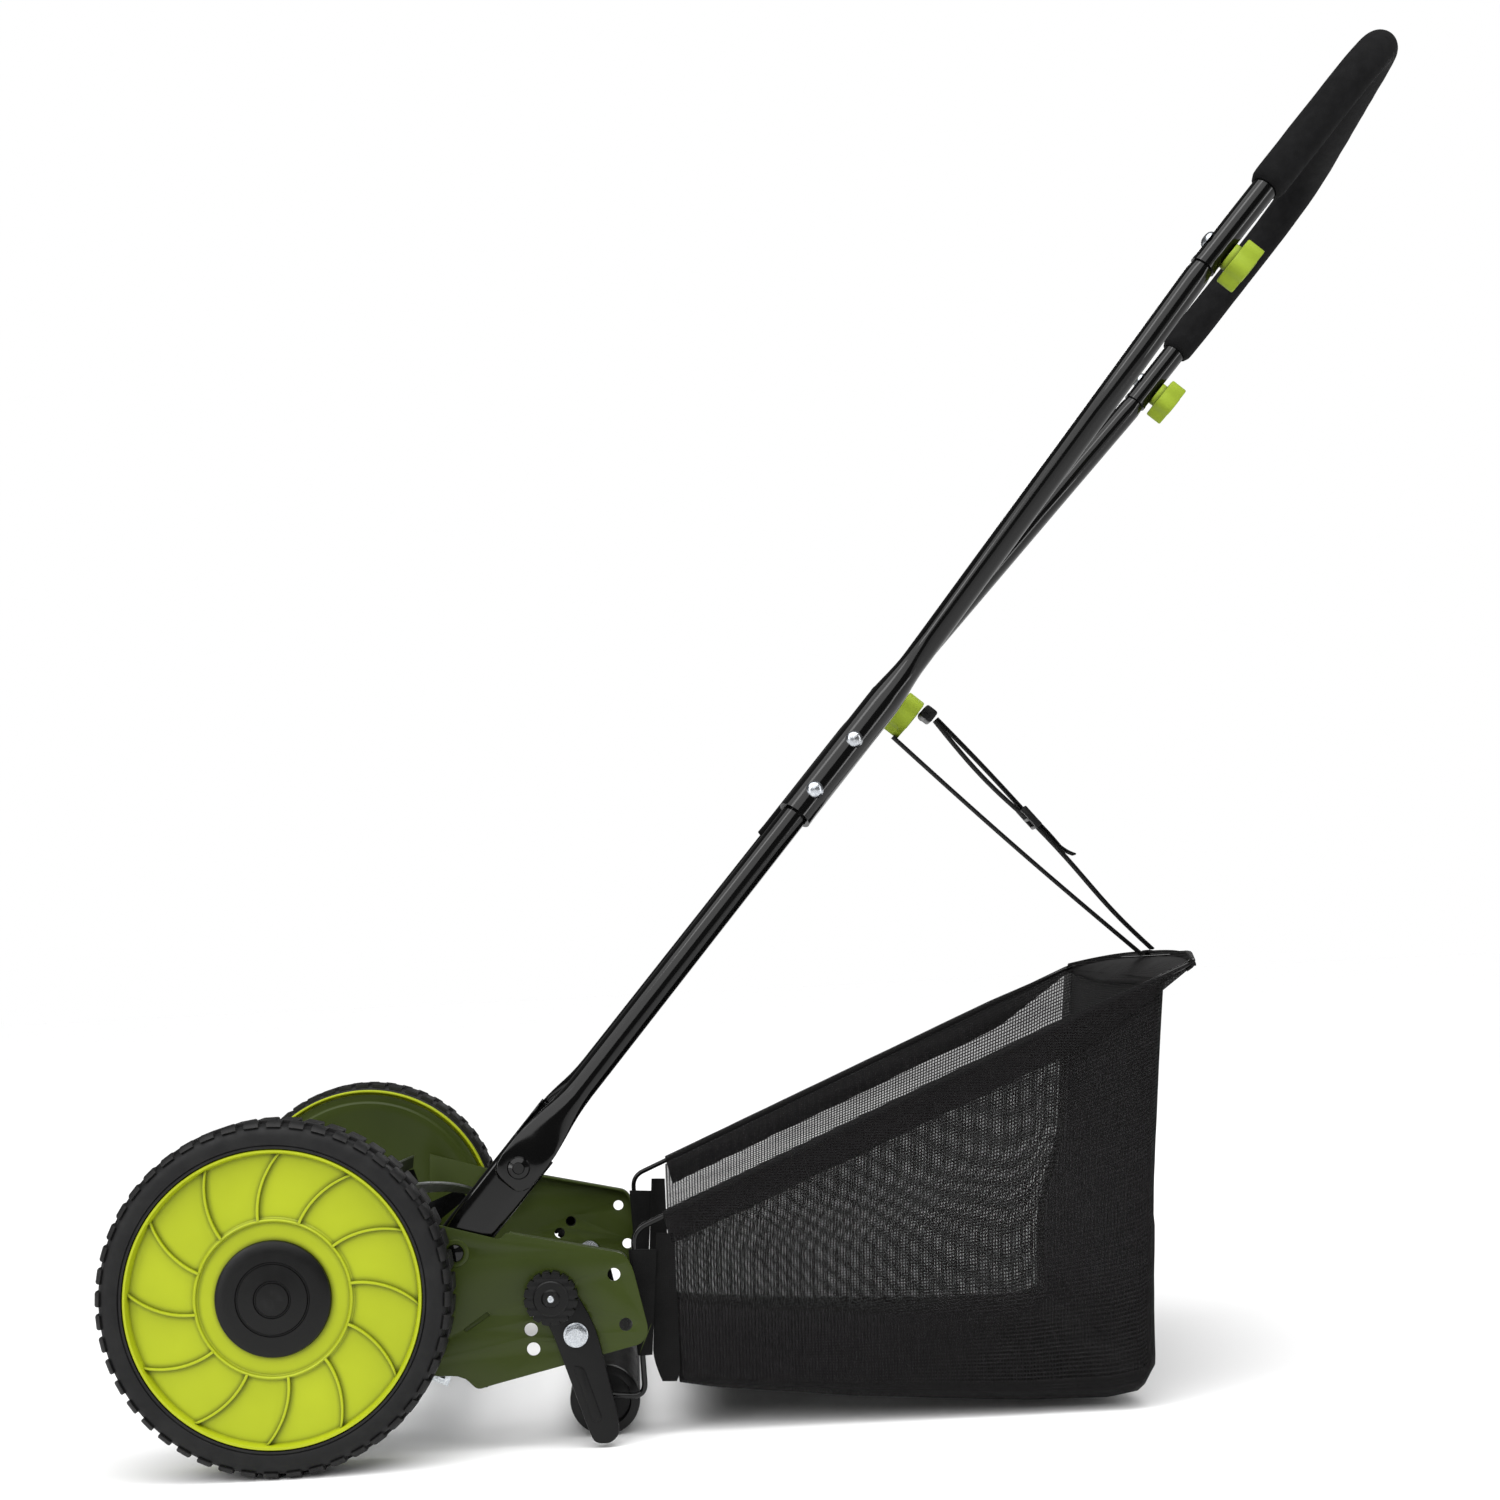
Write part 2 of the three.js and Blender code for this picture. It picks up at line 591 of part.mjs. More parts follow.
// The middle tube has a wide sleeve over the lower tube and a narrow spigot in the upper handle.
function middleTube(side) {
  const inner = TUBE_RADIUS - TUBE_WALL;
  const straight = (from, to, outer, bore) => (
    straightTube(legPoint(from, side), legPoint(to, side), outer, bore)
  );
  const path = bentPath([
    legPoint(WAIST.along - 20, side), legPoint(WAIST.along, side), legPoint(SHOULDER.along, side),
    legPoint(UPPER_JOINT - 1.5, side),
  ], 18, 2);
  const joint = legPoint(UPPER_JOINT, side);
  const spigotEnd = legPoint(UPPER_JOINT + SPIGOT_LENGTH, side);
  const spigotStart = joint.clone().lerp(spigotEnd, -0.13);
  const tube = join(
    swept(path, TUBE_RADIUS, inner),
    straight(SLEEVE_START, WAIST.along - 18, SLEEVE_RADIUS, TUBE_RADIUS + GAP),
    straight(WAIST.along - 28, WAIST.along - 16, SLEEVE_RADIUS - 0.4, inner),
    straight(UPPER_JOINT - 14, UPPER_JOINT - 2, inner + 0.6, SPIGOT_RADIUS - TUBE_WALL),
    straightTube(spigotStart, spigotEnd, SPIGOT_RADIUS, SPIGOT_RADIUS - TUBE_WALL),
  );
  return cut(tube, ...CARRIAGE_BOLTS.map((along) => sideHole(along, side)), upperHole(side));
}

// The direction of the clamp bolts: square to the handle, towards its underside.
function underside() {
  return new THREE.Vector3(Math.sin(HANDLE_SLOPE), 0, -Math.cos(HANDLE_SLOPE));
}

function upperHole(side) {
  return pinAlong(legPoint(UPPER_BOLT, side, -20), underside(), [[3 + GAP, 0], [3 + GAP, 40]], 8);
}

function loopPath() {
  const half = SHOULDER.half;
  const leftStart = handlePoint(UPPER_JOINT, -half);
  const corner = (side) => handlePoint(CROSSBAR, side * half);
  return bentPath([leftStart, corner(-1), corner(1), handlePoint(UPPER_JOINT, half)], LOOP_CORNER);
}

function upperHandle() {
  const loop = swept(loopPath(), TUBE_RADIUS, TUBE_RADIUS - TUBE_WALL);
  return cut(loop, upperHole(-1), upperHole(1));
}

function foamGrip() {
  const half = SHOULDER.half;
  const path = bentPath([
    handlePoint(FOAM_START, -half), handlePoint(CROSSBAR, -half), handlePoint(CROSSBAR, half),
    handlePoint(FOAM_START, half),
  ], LOOP_CORNER);
  return swept(path, FOAM_RADIUS, TUBE_RADIUS + 2 * GAP);
}

// A cross bolt through the sleeve: a domed head outboard and a nut inboard.
function carriageBolt(along, side) {
  const point = legPoint(along, side);
  const half = legHalf(along);
  const [inner, outer] = [half - SLEEVE_RADIUS - 2.4, half + SLEEVE_RADIUS + 2.4];
  return turnedPin([
    [6, inner - 5], [6, inner], [3.2, inner], [3.2, outer], [7.5, outer], [5, outer + 3.4],
  ], side, 8, point.x, point.z);
}

// A plastic hand knob with five lobes and a hub, threaded on a bolt.
function handKnob(origin, direction, bore) {
  const count = KNOB.lobes * 4;
  const outline = Array.from({ length: count }, (_, i) => {
    const angle = i * 2 * Math.PI / count;
    const radius = KNOB.radius + KNOB.lobe * Math.cos(KNOB.lobes * angle);
    return new THREE.Vector2(radius, 0).rotateAround(new THREE.Vector2(), angle);
  });
  const body = slab(new THREE.Shape(outline), [KNOB.back, KNOB.front]);
  const hub = turnedPin([[KNOB.hub, 0], [KNOB.hub, KNOB.back + 1]]);
  const whole = join(body, hub);
  const drilled = bore > 0 ? cut(whole, turnedPin([[bore, -1], [bore, 16]], 1, 12)) : whole;
  const turn = new THREE.Quaternion().setFromUnitVectors(new THREE.Vector3(0, 1, 0), direction);
  return drilled.applyQuaternion(turn).translate(origin.x, origin.y, origin.z);
}

function upperKnob(side) {
  return handKnob(legPoint(UPPER_BOLT, side, TUBE_RADIUS + GAP), underside(), 3 + GAP);
}

function upperBolt(side) {
  const origin = legPoint(UPPER_BOLT, side, -TUBE_RADIUS - GAP);
  const reach = 2 * (TUBE_RADIUS + GAP);
  return pinAlong(origin, underside(), [
    [3, -4], [7, 0], [3, 0], [3, reach + 14],
  ], 8);
}

function handleBrace() {
  const reach = legHalf(BRACE.along) - SLEEVE_RADIUS - 1.5;
  const tube = straightTube(handlePoint(BRACE.along, -reach), handlePoint(BRACE.along, reach),
    BRACE.radius, BRACE.radius - TUBE_WALL);
  const drill = [[4 + GAP, 0], [4 + GAP, 30]];
  return cut(tube, pinAlong(handlePoint(BRACE.along, 0, -15), underside(), drill, 12));
}

// The waist knob has its stud moulded in; the stud passes through the brace.
function waistKnob() {
  const knob = handKnob(handlePoint(BRACE.along, 0, BRACE.knobBelow), underside(), 0);
  const start = -BRACE.radius - 4;
  const stud = pinAlong(handlePoint(BRACE.along, 0, start), underside(), [
    [6.5, 0], [6.5, 3.6], [4, 3.6], [4, BRACE.knobBelow + 8 - start],
  ], 12);
  return join(knob, stud);
}

function addHandle() {
  for (const [side, name] of SIDES) {
    addNode(`handle_bracket_${name}`, handleBracket(side), 'blackPaint');
    addNode(`bracket_bolt_${name}`, bracketBolt(side), 'blackPaint');
    addNode(`lower_tube_${name}`, lowerTube(side), 'blackPaint');
    addNode(`middle_tube_${name}`, middleTube(side), 'blackPaint');
    CARRIAGE_BOLTS.forEach((along, i) => {
      addNode(`carriage_bolt_${['lower', 'upper'][i]}_${name}`, carriageBolt(along, side), 'zinc');
    });
    addNode(`upper_bolt_${name}`, upperBolt(side), 'zinc');
    addNode(`upper_knob_${name}`, upperKnob(side), 'lime');
  }
  addNode('handle_brace', handleBrace(), 'blackPaint');
  addNode('waist_knob', waistKnob(), 'lime');
  addNode('upper_handle', upperHandle(), 'blackPaint');
  addNode('foam_grip', foamGrip(), 'foam');
}

// ---------------------------------------------------------------- roller and height adjustment
function rollerArm(side) {
  const outline = roundedShape([
    [183, -3, 8], [194, 9, 8], [212, 4, 9], [230.5, -27, 14], [247.5, -94, 6], [248.5, -107, 4],
    [242, -113.5, 4], [230, -113.5, 5], [225, -102, 6], [199.5, -34, 12],
  ]);
  const pivotHole = turnedPin([[6 + GAP, 239], [6 + GAP, 247]], side, 12, ARM_PIVOT.x, ARM_PIVOT.z);
  const studHole = turnedPin([[4 + GAP, 239], [4 + GAP, 247]], side, 12, HEIGHT_KNOB.x, HEIGHT_KNOB.z);
  const bore = ROLLER_AXLE_RADIUS + GAP;
  const axleHole = turnedPin([[bore, 239], [bore, ARM_FACES[1] - 1]], side, 12, ROLLER.x, ROLLER.z);
  return cut(slab(outline, ARM_FACES, side, 3), pivotHole, studHole, axleHole);
}

function armPivotBolt(side) {
  const seat = ARM_FACES[1] + GAP;
  const shank = turnedPin([
    [10, PLATE_INNER - 4], [10, PLATE_INNER - GAP], [6, PLATE_INNER - GAP], [6, seat], [9.2, seat],
    [9.2, seat + 1.6], [6.5, seat + 1.6], [6.2, seat + 6],
  ], side, 12, ARM_PIVOT.x, ARM_PIVOT.z);
  const head = turnedPin([[8.4, seat + 1.2], [8.4, seat + 5]], side, 6, ARM_PIVOT.x, ARM_PIVOT.z);
  return join(shank, head);
}

function heightKnob(side) {
  const { lobes, radius, notch } = HEIGHT_KNOB;
  const corners = [[radius - notch, 0], [radius, 0.15], [radius, 0.85]];
  const outline = Array.from({ length: lobes }, (_, i) => corners.map(([reach, turn]) => (
    new THREE.Vector2(reach, 0).rotateAround(new THREE.Vector2(), (i + turn) * 2 * Math.PI / lobes)
  ))).flat();
  const seat = ARM_FACES[1] + GAP;
  const body = slab(new THREE.Shape(outline), [seat, seat + 11], side);
  body.translate(HEIGHT_KNOB.x, 0, HEIGHT_KNOB.z);
  const stud = turnedPin([[4, ARM_FACES[0]], [4, seat + 5], [2.6, seat + 5], [2.6, seat + 13]],
    side, 12, HEIGHT_KNOB.x, HEIGHT_KNOB.z);
  return join(body, stud);
}

function addRoller() {
  for (const [side, name] of SIDES) {
    addNode(`roller_arm_${name}`, rollerArm(side), 'blackPlastic');
    addNode(`arm_pivot_bolt_${name}`, armPivotBolt(side), 'zinc');
    addNode(`height_knob_${name}`, heightKnob(side), 'blackPlastic');
  }
  const axleEnd = ARM_FACES[1] - 1 - GAP;
  addNode('roller_axle', turnedPin([[ROLLER_AXLE_RADIUS, -axleEnd], [ROLLER_AXLE_RADIUS, axleEnd]],
    1, 12, ROLLER.x, ROLLER.z), 'steel');
  const bore = ROLLER_AXLE_RADIUS + GAP;
  const { radius, half } = ROLLER;
  addNode('roller', turned([
    [bore, -half + 6], [radius - 7, -half + 6], [radius - 6, -half], [radius, -half],
    [radius, half], [radius - 6, half], [radius - 7, half - 6], [bore, half - 6],
  ], 1, 20, ROLLER.x, ROLLER.z), 'blackPlastic');
}

// ---------------------------------------------------------------- grass catcher
// One continuous wire: hook, front upright, sloping side rail, bowed rear rim and back again.
function catcherFrame() {
  const { wireHalf, hook, footFront, headFront, rearCorner, rimMiddle } = CATCHER;
  const at = (place, y) => new THREE.Vector3(place.x, y, place.z);
  const sideRun = (side) => [
    at(hook, side * wireHalf), at(footFront, side * wireHalf), at(headFront, side * wireHalf),
    at(rearCorner, side * wireHalf), at(rimMiddle, side * wireHalf * 0.55),
  ];
  const corners = [...sideRun(-1), ...sideRun(1).reverse()];
  return swept(bentPath(corners, 10, 3), WIRE_RADIUS, 0, 8);
}

function bagTop(x) {
  return 46 + (x - CATCHER.frontX) * BAG_TOP_SLOPE;
}

// The bag is open at the front and along the top, with a lip that overhangs its rear end.
function catcherBag() {
  const { frontX, lipStart } = CATCHER;
  const rear = 690;
  const outer = [
    [frontX, -76], [430, -83], [568, -87], [661, -70, 10], [655, 56], [665, 222], [rear, 235],
    [rear, bagTop(rear)], [frontX, bagTop(frontX)],
  ];
  const inner = [
    [frontX - 10, -73.5], [430, -80.4], [568, -84.4], [658.2, -68, 9], [652.4, 56], [662, 219.5],
    [lipStart, bagTop(lipStart) - BAG_WALL], [lipStart, 260], [frontX - 10, 260],
  ];
  return cut(slab(roundedShape(outer), [-BAG_HALF, BAG_HALF]),
    slab(roundedShape(inner), [-BAG_HALF + BAG_WALL, BAG_HALF - BAG_WALL]));
}

// A point of the strap's own frame, which hangs the catcher from the waist of the handle.
function strapPoint(along, below) {
  const point = handlePoint(STRAP_PIVOT.along + along, 0, STRAP_PIVOT.below + below);
  return new THREE.Vector2(point.x, point.z);
}

function strapEnds() {
  const [front, rear] = [strapPoint(...STRAP_ENDS.front), strapPoint(...STRAP_ENDS.rear)];
  const rim = new THREE.Vector2(CATCHER.rimMiddle.x, CATCHER.rimMiddle.z);
  const rise = front.clone().add(rear).divideScalar(2).sub(rim).setLength(RIM_CLEARANCE);
  return { front, rear, low: rim.add(rise) };
}

// A point beside the line from one place to another, at a distance along it and square to it.
function beside(from, to, distance, offset) {
  const direction = to.clone().sub(from).normalize();
  const square = new THREE.Vector2(-direction.y, direction.x);
  return from.clone().addScaledVector(direction, distance).addScaledVector(square, offset);
}

// Two legs of webbing in a narrow V that meet over the rear rim of the catcher.
function bagStrap() {
  const { front, rear, low } = strapEnds();
  const half = STRAP_THICKNESS / 2;
  const spread = low.clone().sub(front).angleTo(low.clone().sub(rear));
  const middle = front.clone().add(rear).divideScalar(2);
  const shape = new THREE.Shape([
    beside(low, front, 0, half), beside(low, front, low.distanceTo(front), half),
    beside(low, front, low.distanceTo(front), -half), beside(low, middle, half / Math.sin(spread / 2), 0),
    beside(low, rear, low.distanceTo(rear), half), beside(low, rear, low.distanceTo(rear), -half),
    beside(low, rear, 0, -half),
  ]);
  return slab(shape, [-STRAP_WIDTH / 2, STRAP_WIDTH / 2]);
}

// The slider that the rear leg runs through.
function strapBuckle() {
  const { rear, low } = strapEnds();
  const block = (length, depth, half) => {
    const ends = [[-length, -depth], [length, -depth], [length, depth], [-length, depth]];
    const outline = ends.map(([reach, offset]) => (
      beside(rear, low, BUCKLE.fromRear + reach / 2, offset / 2)
    ));
    return slab(new THREE.Shape(outline), [-half, half]);
  };
  return cut(block(BUCKLE.length, BUCKLE.depth, BUCKLE.half),
    block(BUCKLE.length + 2, STRAP_THICKNESS + 2 * GAP, STRAP_WIDTH / 2 + GAP));
}

function strapHook() {
  const { along, below, half, halfWidth } = STRAP_HOOK;
  const corners = [[-half, -half], [half, -half], [half, half], [-half, half]];
  const outline = roundedShape(corners.map(([up, down]) => {
    const corner = strapPoint(along + up, below + down);
    return [corner.x, corner.y, half / 2];
  }));
  return slab(outline, [-halfWidth, halfWidth], 1, 2);
}

function addCatcher() {
  addNode('catcher_frame', catcherFrame(), 'blackPaint');
  addNode('catcher_bag', catcherBag(), 'fabric');
  addNode('bag_strap', bagStrap(), 'fabric');
  addNode('strap_buckle', strapBuckle(), 'blackPlastic');
  addNode('strap_hook', strapHook(), 'blackPlastic');
}

// ---------------------------------------------------------------- assembly
for (const [side, name] of SIDES) addSide(side, name);
addReel();
addCrossMembers();
addHandle();
addRoller();
addCatcher();

// The machine leans back onto its roller and stands over the middle of its own footprint.
machine.rotation.y = REST_TILT;
machine.position.z = TYRE_RADIUS;
const extent = new THREE.Box3().setFromObject(machine, true);
machine.position.x = -(extent.min.x + extent.max.x) / 2;

const mower = new THREE.Group();
mower.add(machine);

export default mower;
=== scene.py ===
"""Looks for the manual reel lawn mower with a grass catcher.

Shapes are laid out in machine millimetres: the wheel axis is the origin, +X is the rear, +Y the right
and +Z up. MACHINE turns them into the row frame. "Outboard" is a distance from the middle plane.
"""
import math

import bmesh
import bpy
from mathutils import Matrix, Vector, noise


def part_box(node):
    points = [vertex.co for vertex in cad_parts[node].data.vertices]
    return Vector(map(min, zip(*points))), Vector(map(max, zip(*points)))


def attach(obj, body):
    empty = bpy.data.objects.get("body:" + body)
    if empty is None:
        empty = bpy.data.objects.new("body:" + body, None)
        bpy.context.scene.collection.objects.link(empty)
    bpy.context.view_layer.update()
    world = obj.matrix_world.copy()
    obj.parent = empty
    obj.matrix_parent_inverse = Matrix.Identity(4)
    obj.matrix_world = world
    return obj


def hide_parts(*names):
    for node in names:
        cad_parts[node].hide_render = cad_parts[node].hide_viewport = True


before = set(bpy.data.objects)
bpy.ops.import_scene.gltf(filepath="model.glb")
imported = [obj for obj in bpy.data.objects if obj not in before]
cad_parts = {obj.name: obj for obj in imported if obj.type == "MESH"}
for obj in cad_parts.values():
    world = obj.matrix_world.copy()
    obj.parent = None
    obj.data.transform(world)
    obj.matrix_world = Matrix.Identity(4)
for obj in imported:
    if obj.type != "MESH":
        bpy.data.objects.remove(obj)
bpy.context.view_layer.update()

# ------------------------------------------------------------------ dimensions, in millimetres
SIDES = ((-1, "left"), (1, "right"))
TYRE_RADIUS = 128.0
ROLLER = (237.2, -89.7, 26.7)
REEL_X = 55.0
REEL_HALF = 214.0
BLADES = 5
BLADE_TWIST = math.radians(78)
PLATE_INNER, PLATE_OUTER = 237.5, 240.0
HANDLE_BOLT = (173.0, 89.0)
HANDLE_PIVOT = (126.0, 26.0)
HANDLE_SLOPE = math.radians(51.8)
SLEEVE_START, WAIST, SHOULDER, UPPER_JOINT = 345.0, 498.0, 780.0, 892.0
FOOT_HALF, WAIST_HALF, SHOULDER_HALF = 233.0, 110.0, 160.0
FOAM_START, CROSSBAR, LOOP_CORNER = 964.0, 1148.0, 75.0
RACK = math.sin(math.radians(5.4))
TUBE = 10.5
SLEEVE = 13.8
FOAM = 15.0
FOAM_LEAN = 10.0
UPPER_BOLT = 912.0
CARRIAGE_BOLTS = (370.0, 423.0)
BRACE = 490.0
KNOB_BELOW = 9.6
ARM_PIVOT = (216.0, -33.6)
HEIGHT_KNOB = (197.7, -5.5)
ARM_INNER, ARM_OUTER = PLATE_OUTER + 0.4, PLATE_OUTER + 5.4
BAG_HALF = 217.0
WIRE_HALF = BAG_HALF + 3
STRAP_WIDTH, STRAP_THICK = 15.0, 1.5
STRAP_PIVOT = (491.4, 24.4)
BUCKLE_FROM_HOOK = 118
RIM_FRONT = Vector((262, 0, 42))
RIM_REAR = Vector((684, 0, 243))
RIM_MIDDLE = Vector((706, 0, 252))
FAR_REAR_REACH = 20
BAG_FLOOR = ((288, -76), (320, -80.5), (430, -87.5), (557, -91), (622, -89), (645, -84), (654, -76),
             (656, -71))
PLATE_SLOT = ((132.4, -30.4, 1), (134.4, -32.4, 1), (152.4, -20, 1), (150, -17.4, 1))
RIBS = 12
TREAD_BLOCKS = 48
RING_TEETH = 55
ROLLER_RIDGES = 102


def clamped(share):
    return min(1.0, max(0.0, share))


def eased(share):
    """A share from 0 to 1 that starts and ends gently."""
    share = clamped(share)
    return share * share * (3 - 2 * share)


def rest_tilt():
    """How far the machine leans back to stand on its tyres and its roller."""
    x, z, radius = ROLLER
    return math.asin((TYRE_RADIUS - radius) / math.hypot(x, z)) - math.atan2(-z, x)


axle_low, axle_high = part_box("wheel_axle_left")
MACHINE = (
    Matrix.Translation(((axle_low.x + axle_high.x) / 2, 0, TYRE_RADIUS / 1000))
    @ Matrix.Rotation(rest_tilt(), 4, "Y")
    @ Matrix.Scale(0.001, 4)
)


def handle_point(along, across, below=0.0):
    """A point of the handle: up its slope from the foot bolts, to the right, and below its plane."""
    ramp = clamped((along - WAIST) / (UPPER_JOINT - WAIST))
    drop = below + across * RACK * ramp
    return Vector((
        HANDLE_BOLT[0] + along * math.cos(HANDLE_SLOPE) + drop * math.sin(HANDLE_SLOPE),
        across,
        HANDLE_BOLT[1] + along * math.sin(HANDLE_SLOPE) - drop * math.cos(HANDLE_SLOPE),
    ))


def leg_half(along):
    if along < WAIST:
        return FOOT_HALF + (WAIST_HALF - FOOT_HALF) * along / WAIST
    share = min(1.0, (along - WAIST) / (SHOULDER - WAIST))
    return WAIST_HALF + (SHOULDER_HALF - WAIST_HALF) * share


def leg_point(along, side, below=0.0):
    return handle_point(along, side * leg_half(along), below)


UNDERSIDE = Vector((math.sin(HANDLE_SLOPE), 0, -math.cos(HANDLE_SLOPE)))
UP_HANDLE = Vector((math.cos(HANDLE_SLOPE), 0, math.sin(HANDLE_SLOPE)))


# ------------------------------------------------------------------ material building
class Nodes:
    """A material's node tree, with short calls for the nodes used here."""

    def __init__(self, name):
        self.material = bpy.data.materials.new(name)
        self.material.use_nodes = True
        self.tree = self.material.node_tree
        self.shader = self.tree.nodes["Principled BSDF"]

    def add(self, kind, **inputs):
        node = self.tree.nodes.new(kind)
        for socket, value in inputs.items():
            self.put(node.inputs[socket.replace("_", " ")], value)
        return node

    def put(self, socket, value):
        if isinstance(value, bpy.types.NodeSocket):
            self.tree.links.new(value, socket)
        else:
            socket.default_value = value

    def math(self, operation, first, second=0.0, clamp=False):
        node = self.tree.nodes.new("ShaderNodeMath")
        node.operation = operation
        node.use_clamp = clamp
        self.put(node.inputs[0], first)
        self.put(node.inputs[1], second)
        return node.outputs[0]

    def mix(self, share, first, second):
        node = self.tree.nodes.new("ShaderNodeMix")
        node.data_type = "RGBA"
        self.put(node.inputs["Factor"], share)
        self.put(node.inputs["A"], first)
        self.put(node.inputs["B"], second)
        return node.outputs["Result"]

    def span(self, value, low, high, to_low, to_high):
        node = self.tree.nodes.new("ShaderNodeMapRange")
        for index, number in enumerate((value, low, high, to_low, to_high)):
            self.put(node.inputs[index], number)
        return node.outputs[0]

    def place(self, stretch=(1, 1, 1), uv=False):
        coordinates = self.tree.nodes.new("ShaderNodeTexCoord")
        mapping = self.tree.nodes.new("ShaderNodeMapping")
        mapping.inputs["Scale"].default_value = stretch
        self.put(mapping.inputs["Vector"], coordinates.outputs["UV" if uv else "Object"])
        return mapping.outputs[0]

    def noise(self, scale, detail=3.0, stretch=(1, 1, 1), uv=False):
        node = self.add("ShaderNodeTexNoise", Scale=scale, Detail=detail, Vector=self.place(stretch, uv))
        return node.outputs["Fac"]

    def bump(self, height, distance, strength=1.0, under=None):
        node = self.add("ShaderNodeBump", Height=height, Distance=distance, Strength=strength)
        if under is not None:
            self.put(node.inputs["Normal"], under)
        return node.outputs[0]

    def set(self, **sockets):
        for socket, value in sockets.items():
            self.put(self.shader.inputs[socket.replace("_", " ")], value)
        return self.material


def rgb(red, green, blue):
    """An sRGB colour, 0 to 255, as linear RGBA."""
    linear = [((c / 255 + 0.055) / 1.055) ** 2.4 if c > 10 else c / 255 / 12.92 for c in (red, green, blue)]
    return (*linear, 1.0)


def worn(nodes, colour, edge_colour, low=0.52, high=0.62):
    """The colour with lighter edges where the surface is sharply convex."""
    geometry = nodes.tree.nodes.new("ShaderNodeNewGeometry")
    edge = nodes.span(geometry.outputs["Pointiness"], low, high, 0.0, 1.0)
    broken = nodes.math("MULTIPLY", edge, nodes.span(nodes.noise(260), 0.35, 0.65, 0.35, 1.0))
    return nodes.mix(broken, colour, edge_colour)


def painted_corner_shade(nodes, shade, shadow_colour, reach):
    """The colour with painted shade: darker where surfaces meet in a corner, from ambient occlusion."""
    node = nodes.add("ShaderNodeAmbientOcclusion", Distance=reach)
    node.samples = 8
    return nodes.mix(nodes.span(node.outputs["AO"], 0.4, 0.95, 1.0, 0.0), shade, shadow_colour)


def moulded_plastic(name, colour, deep, edge, rough, grain, sheen=0.3):
    nodes = Nodes(name)
    shade = nodes.mix(nodes.span(nodes.noise(14, 4), 0.35, 0.65, 0.0, 1.0), colour, deep)
    shade = worn(nodes, shade, edge, 0.56, 0.7)
    # Painted shade in the corners, down to a third of the deep tone.
    shade = painted_corner_shade(nodes, shade, tuple(0.35 * part for part in deep[:3]) + (1.0,), 0.004)
    roughness = nodes.span(nodes.noise(90, 5), 0.3, 0.7, rough - 0.05, rough + 0.06)
    flow = nodes.bump(nodes.noise(38, 2), 0.0004, 0.25)
    pebble = nodes.bump(nodes.noise(1900, 2), grain, 0.5, flow)
    return nodes.set(Base_Color=shade, Roughness=roughness, Normal=pebble, Specular_IOR_Level=sheen)


def painted_steel(name, colour, deep, edge, rough, coat, sheen=0.3):
    nodes = Nodes(name)
    shade = nodes.mix(nodes.span(nodes.noise(9, 5), 0.35, 0.65, 0.0, 1.0), colour, deep)
    shade = worn(nodes, shade, edge, 0.56, 0.7)
    roughness = nodes.span(nodes.noise(24, 5), 0.3, 0.7, rough - 0.03, rough + 0.05)
    peel = nodes.bump(nodes.noise(160, 2), 0.00008, 0.3)
    return nodes.set(Base_Color=shade, Roughness=roughness, Normal=peel, Specular_IOR_Level=sheen,
                     Coat_Weight=coat, Coat_Roughness=0.1)


def bare_metal(name, colour, deep, rough, stretch, depth=0.00008):
    nodes = Nodes(name)
    streaks = nodes.noise(900, 4, stretch)
    shade = nodes.mix(nodes.span(streaks, 0.3, 0.7, 0.0, 1.0), colour, deep)
    stain = nodes.span(nodes.noise(45, 5), 0.55, 0.72, 0.0, 0.35)
    shade = nodes.mix(stain, shade, rgb(92, 84, 72))
    roughness = nodes.span(streaks, 0.3, 0.7, rough - 0.06, rough + 0.12)
    brushed = nodes.bump(streaks, depth, 0.5)
    return nodes.set(Base_Color=shade, Roughness=roughness, Normal=brushed, Metallic=1.0)


def tyre_rubber():
    nodes = Nodes("tyre_rubber")
    dusty = nodes.span(nodes.noise(60, 6), 0.45, 0.75, 0.0, 1.0)
    shade = nodes.mix(dusty, rgb(15, 15, 16), rgb(25, 25, 25))
    shade = worn(nodes, shade, rgb(44, 43, 42), 0.54, 0.72)
    roughness = nodes.span(nodes.noise(150, 4), 0.3, 0.7, 0.5, 0.68)
    skin = nodes.bump(nodes.noise(900, 3), 0.00008, 0.4)
    return nodes.set(Base_Color=shade, Roughness=roughness, Normal=skin, Specular_IOR_Level=0.25)


def grip_foam():
    nodes = Nodes("grip_foam")
    cells = nodes.add("ShaderNodeTexVoronoi", Scale=1500.0, Vector=nodes.place())
    pores = cells.outputs["Distance"]
    shade = nodes.mix(nodes.span(nodes.noise(120, 5), 0.35, 0.7, 0.0, 1.0), rgb(8, 8, 9), rgb(16, 16, 17))
    lumps = nodes.bump(nodes.noise(70, 3), 0.0010, 0.4)
    skin = nodes.bump(pores, 0.0003, 0.6, lumps)
    return nodes.set(Base_Color=shade, Roughness=0.9, Normal=skin, Specular_IOR_Level=0.15)


def threads(nodes, pitch):
    """Waves of crossed threads over the UV map, in millimetres: one across and one along."""
    coordinates = nodes.add("ShaderNodeSeparateXYZ", Vector=nodes.place(uv=True))
    return [nodes.math("PINGPONG", coordinates.outputs[axis], pitch / 2) for axis in ("X", "Y")]


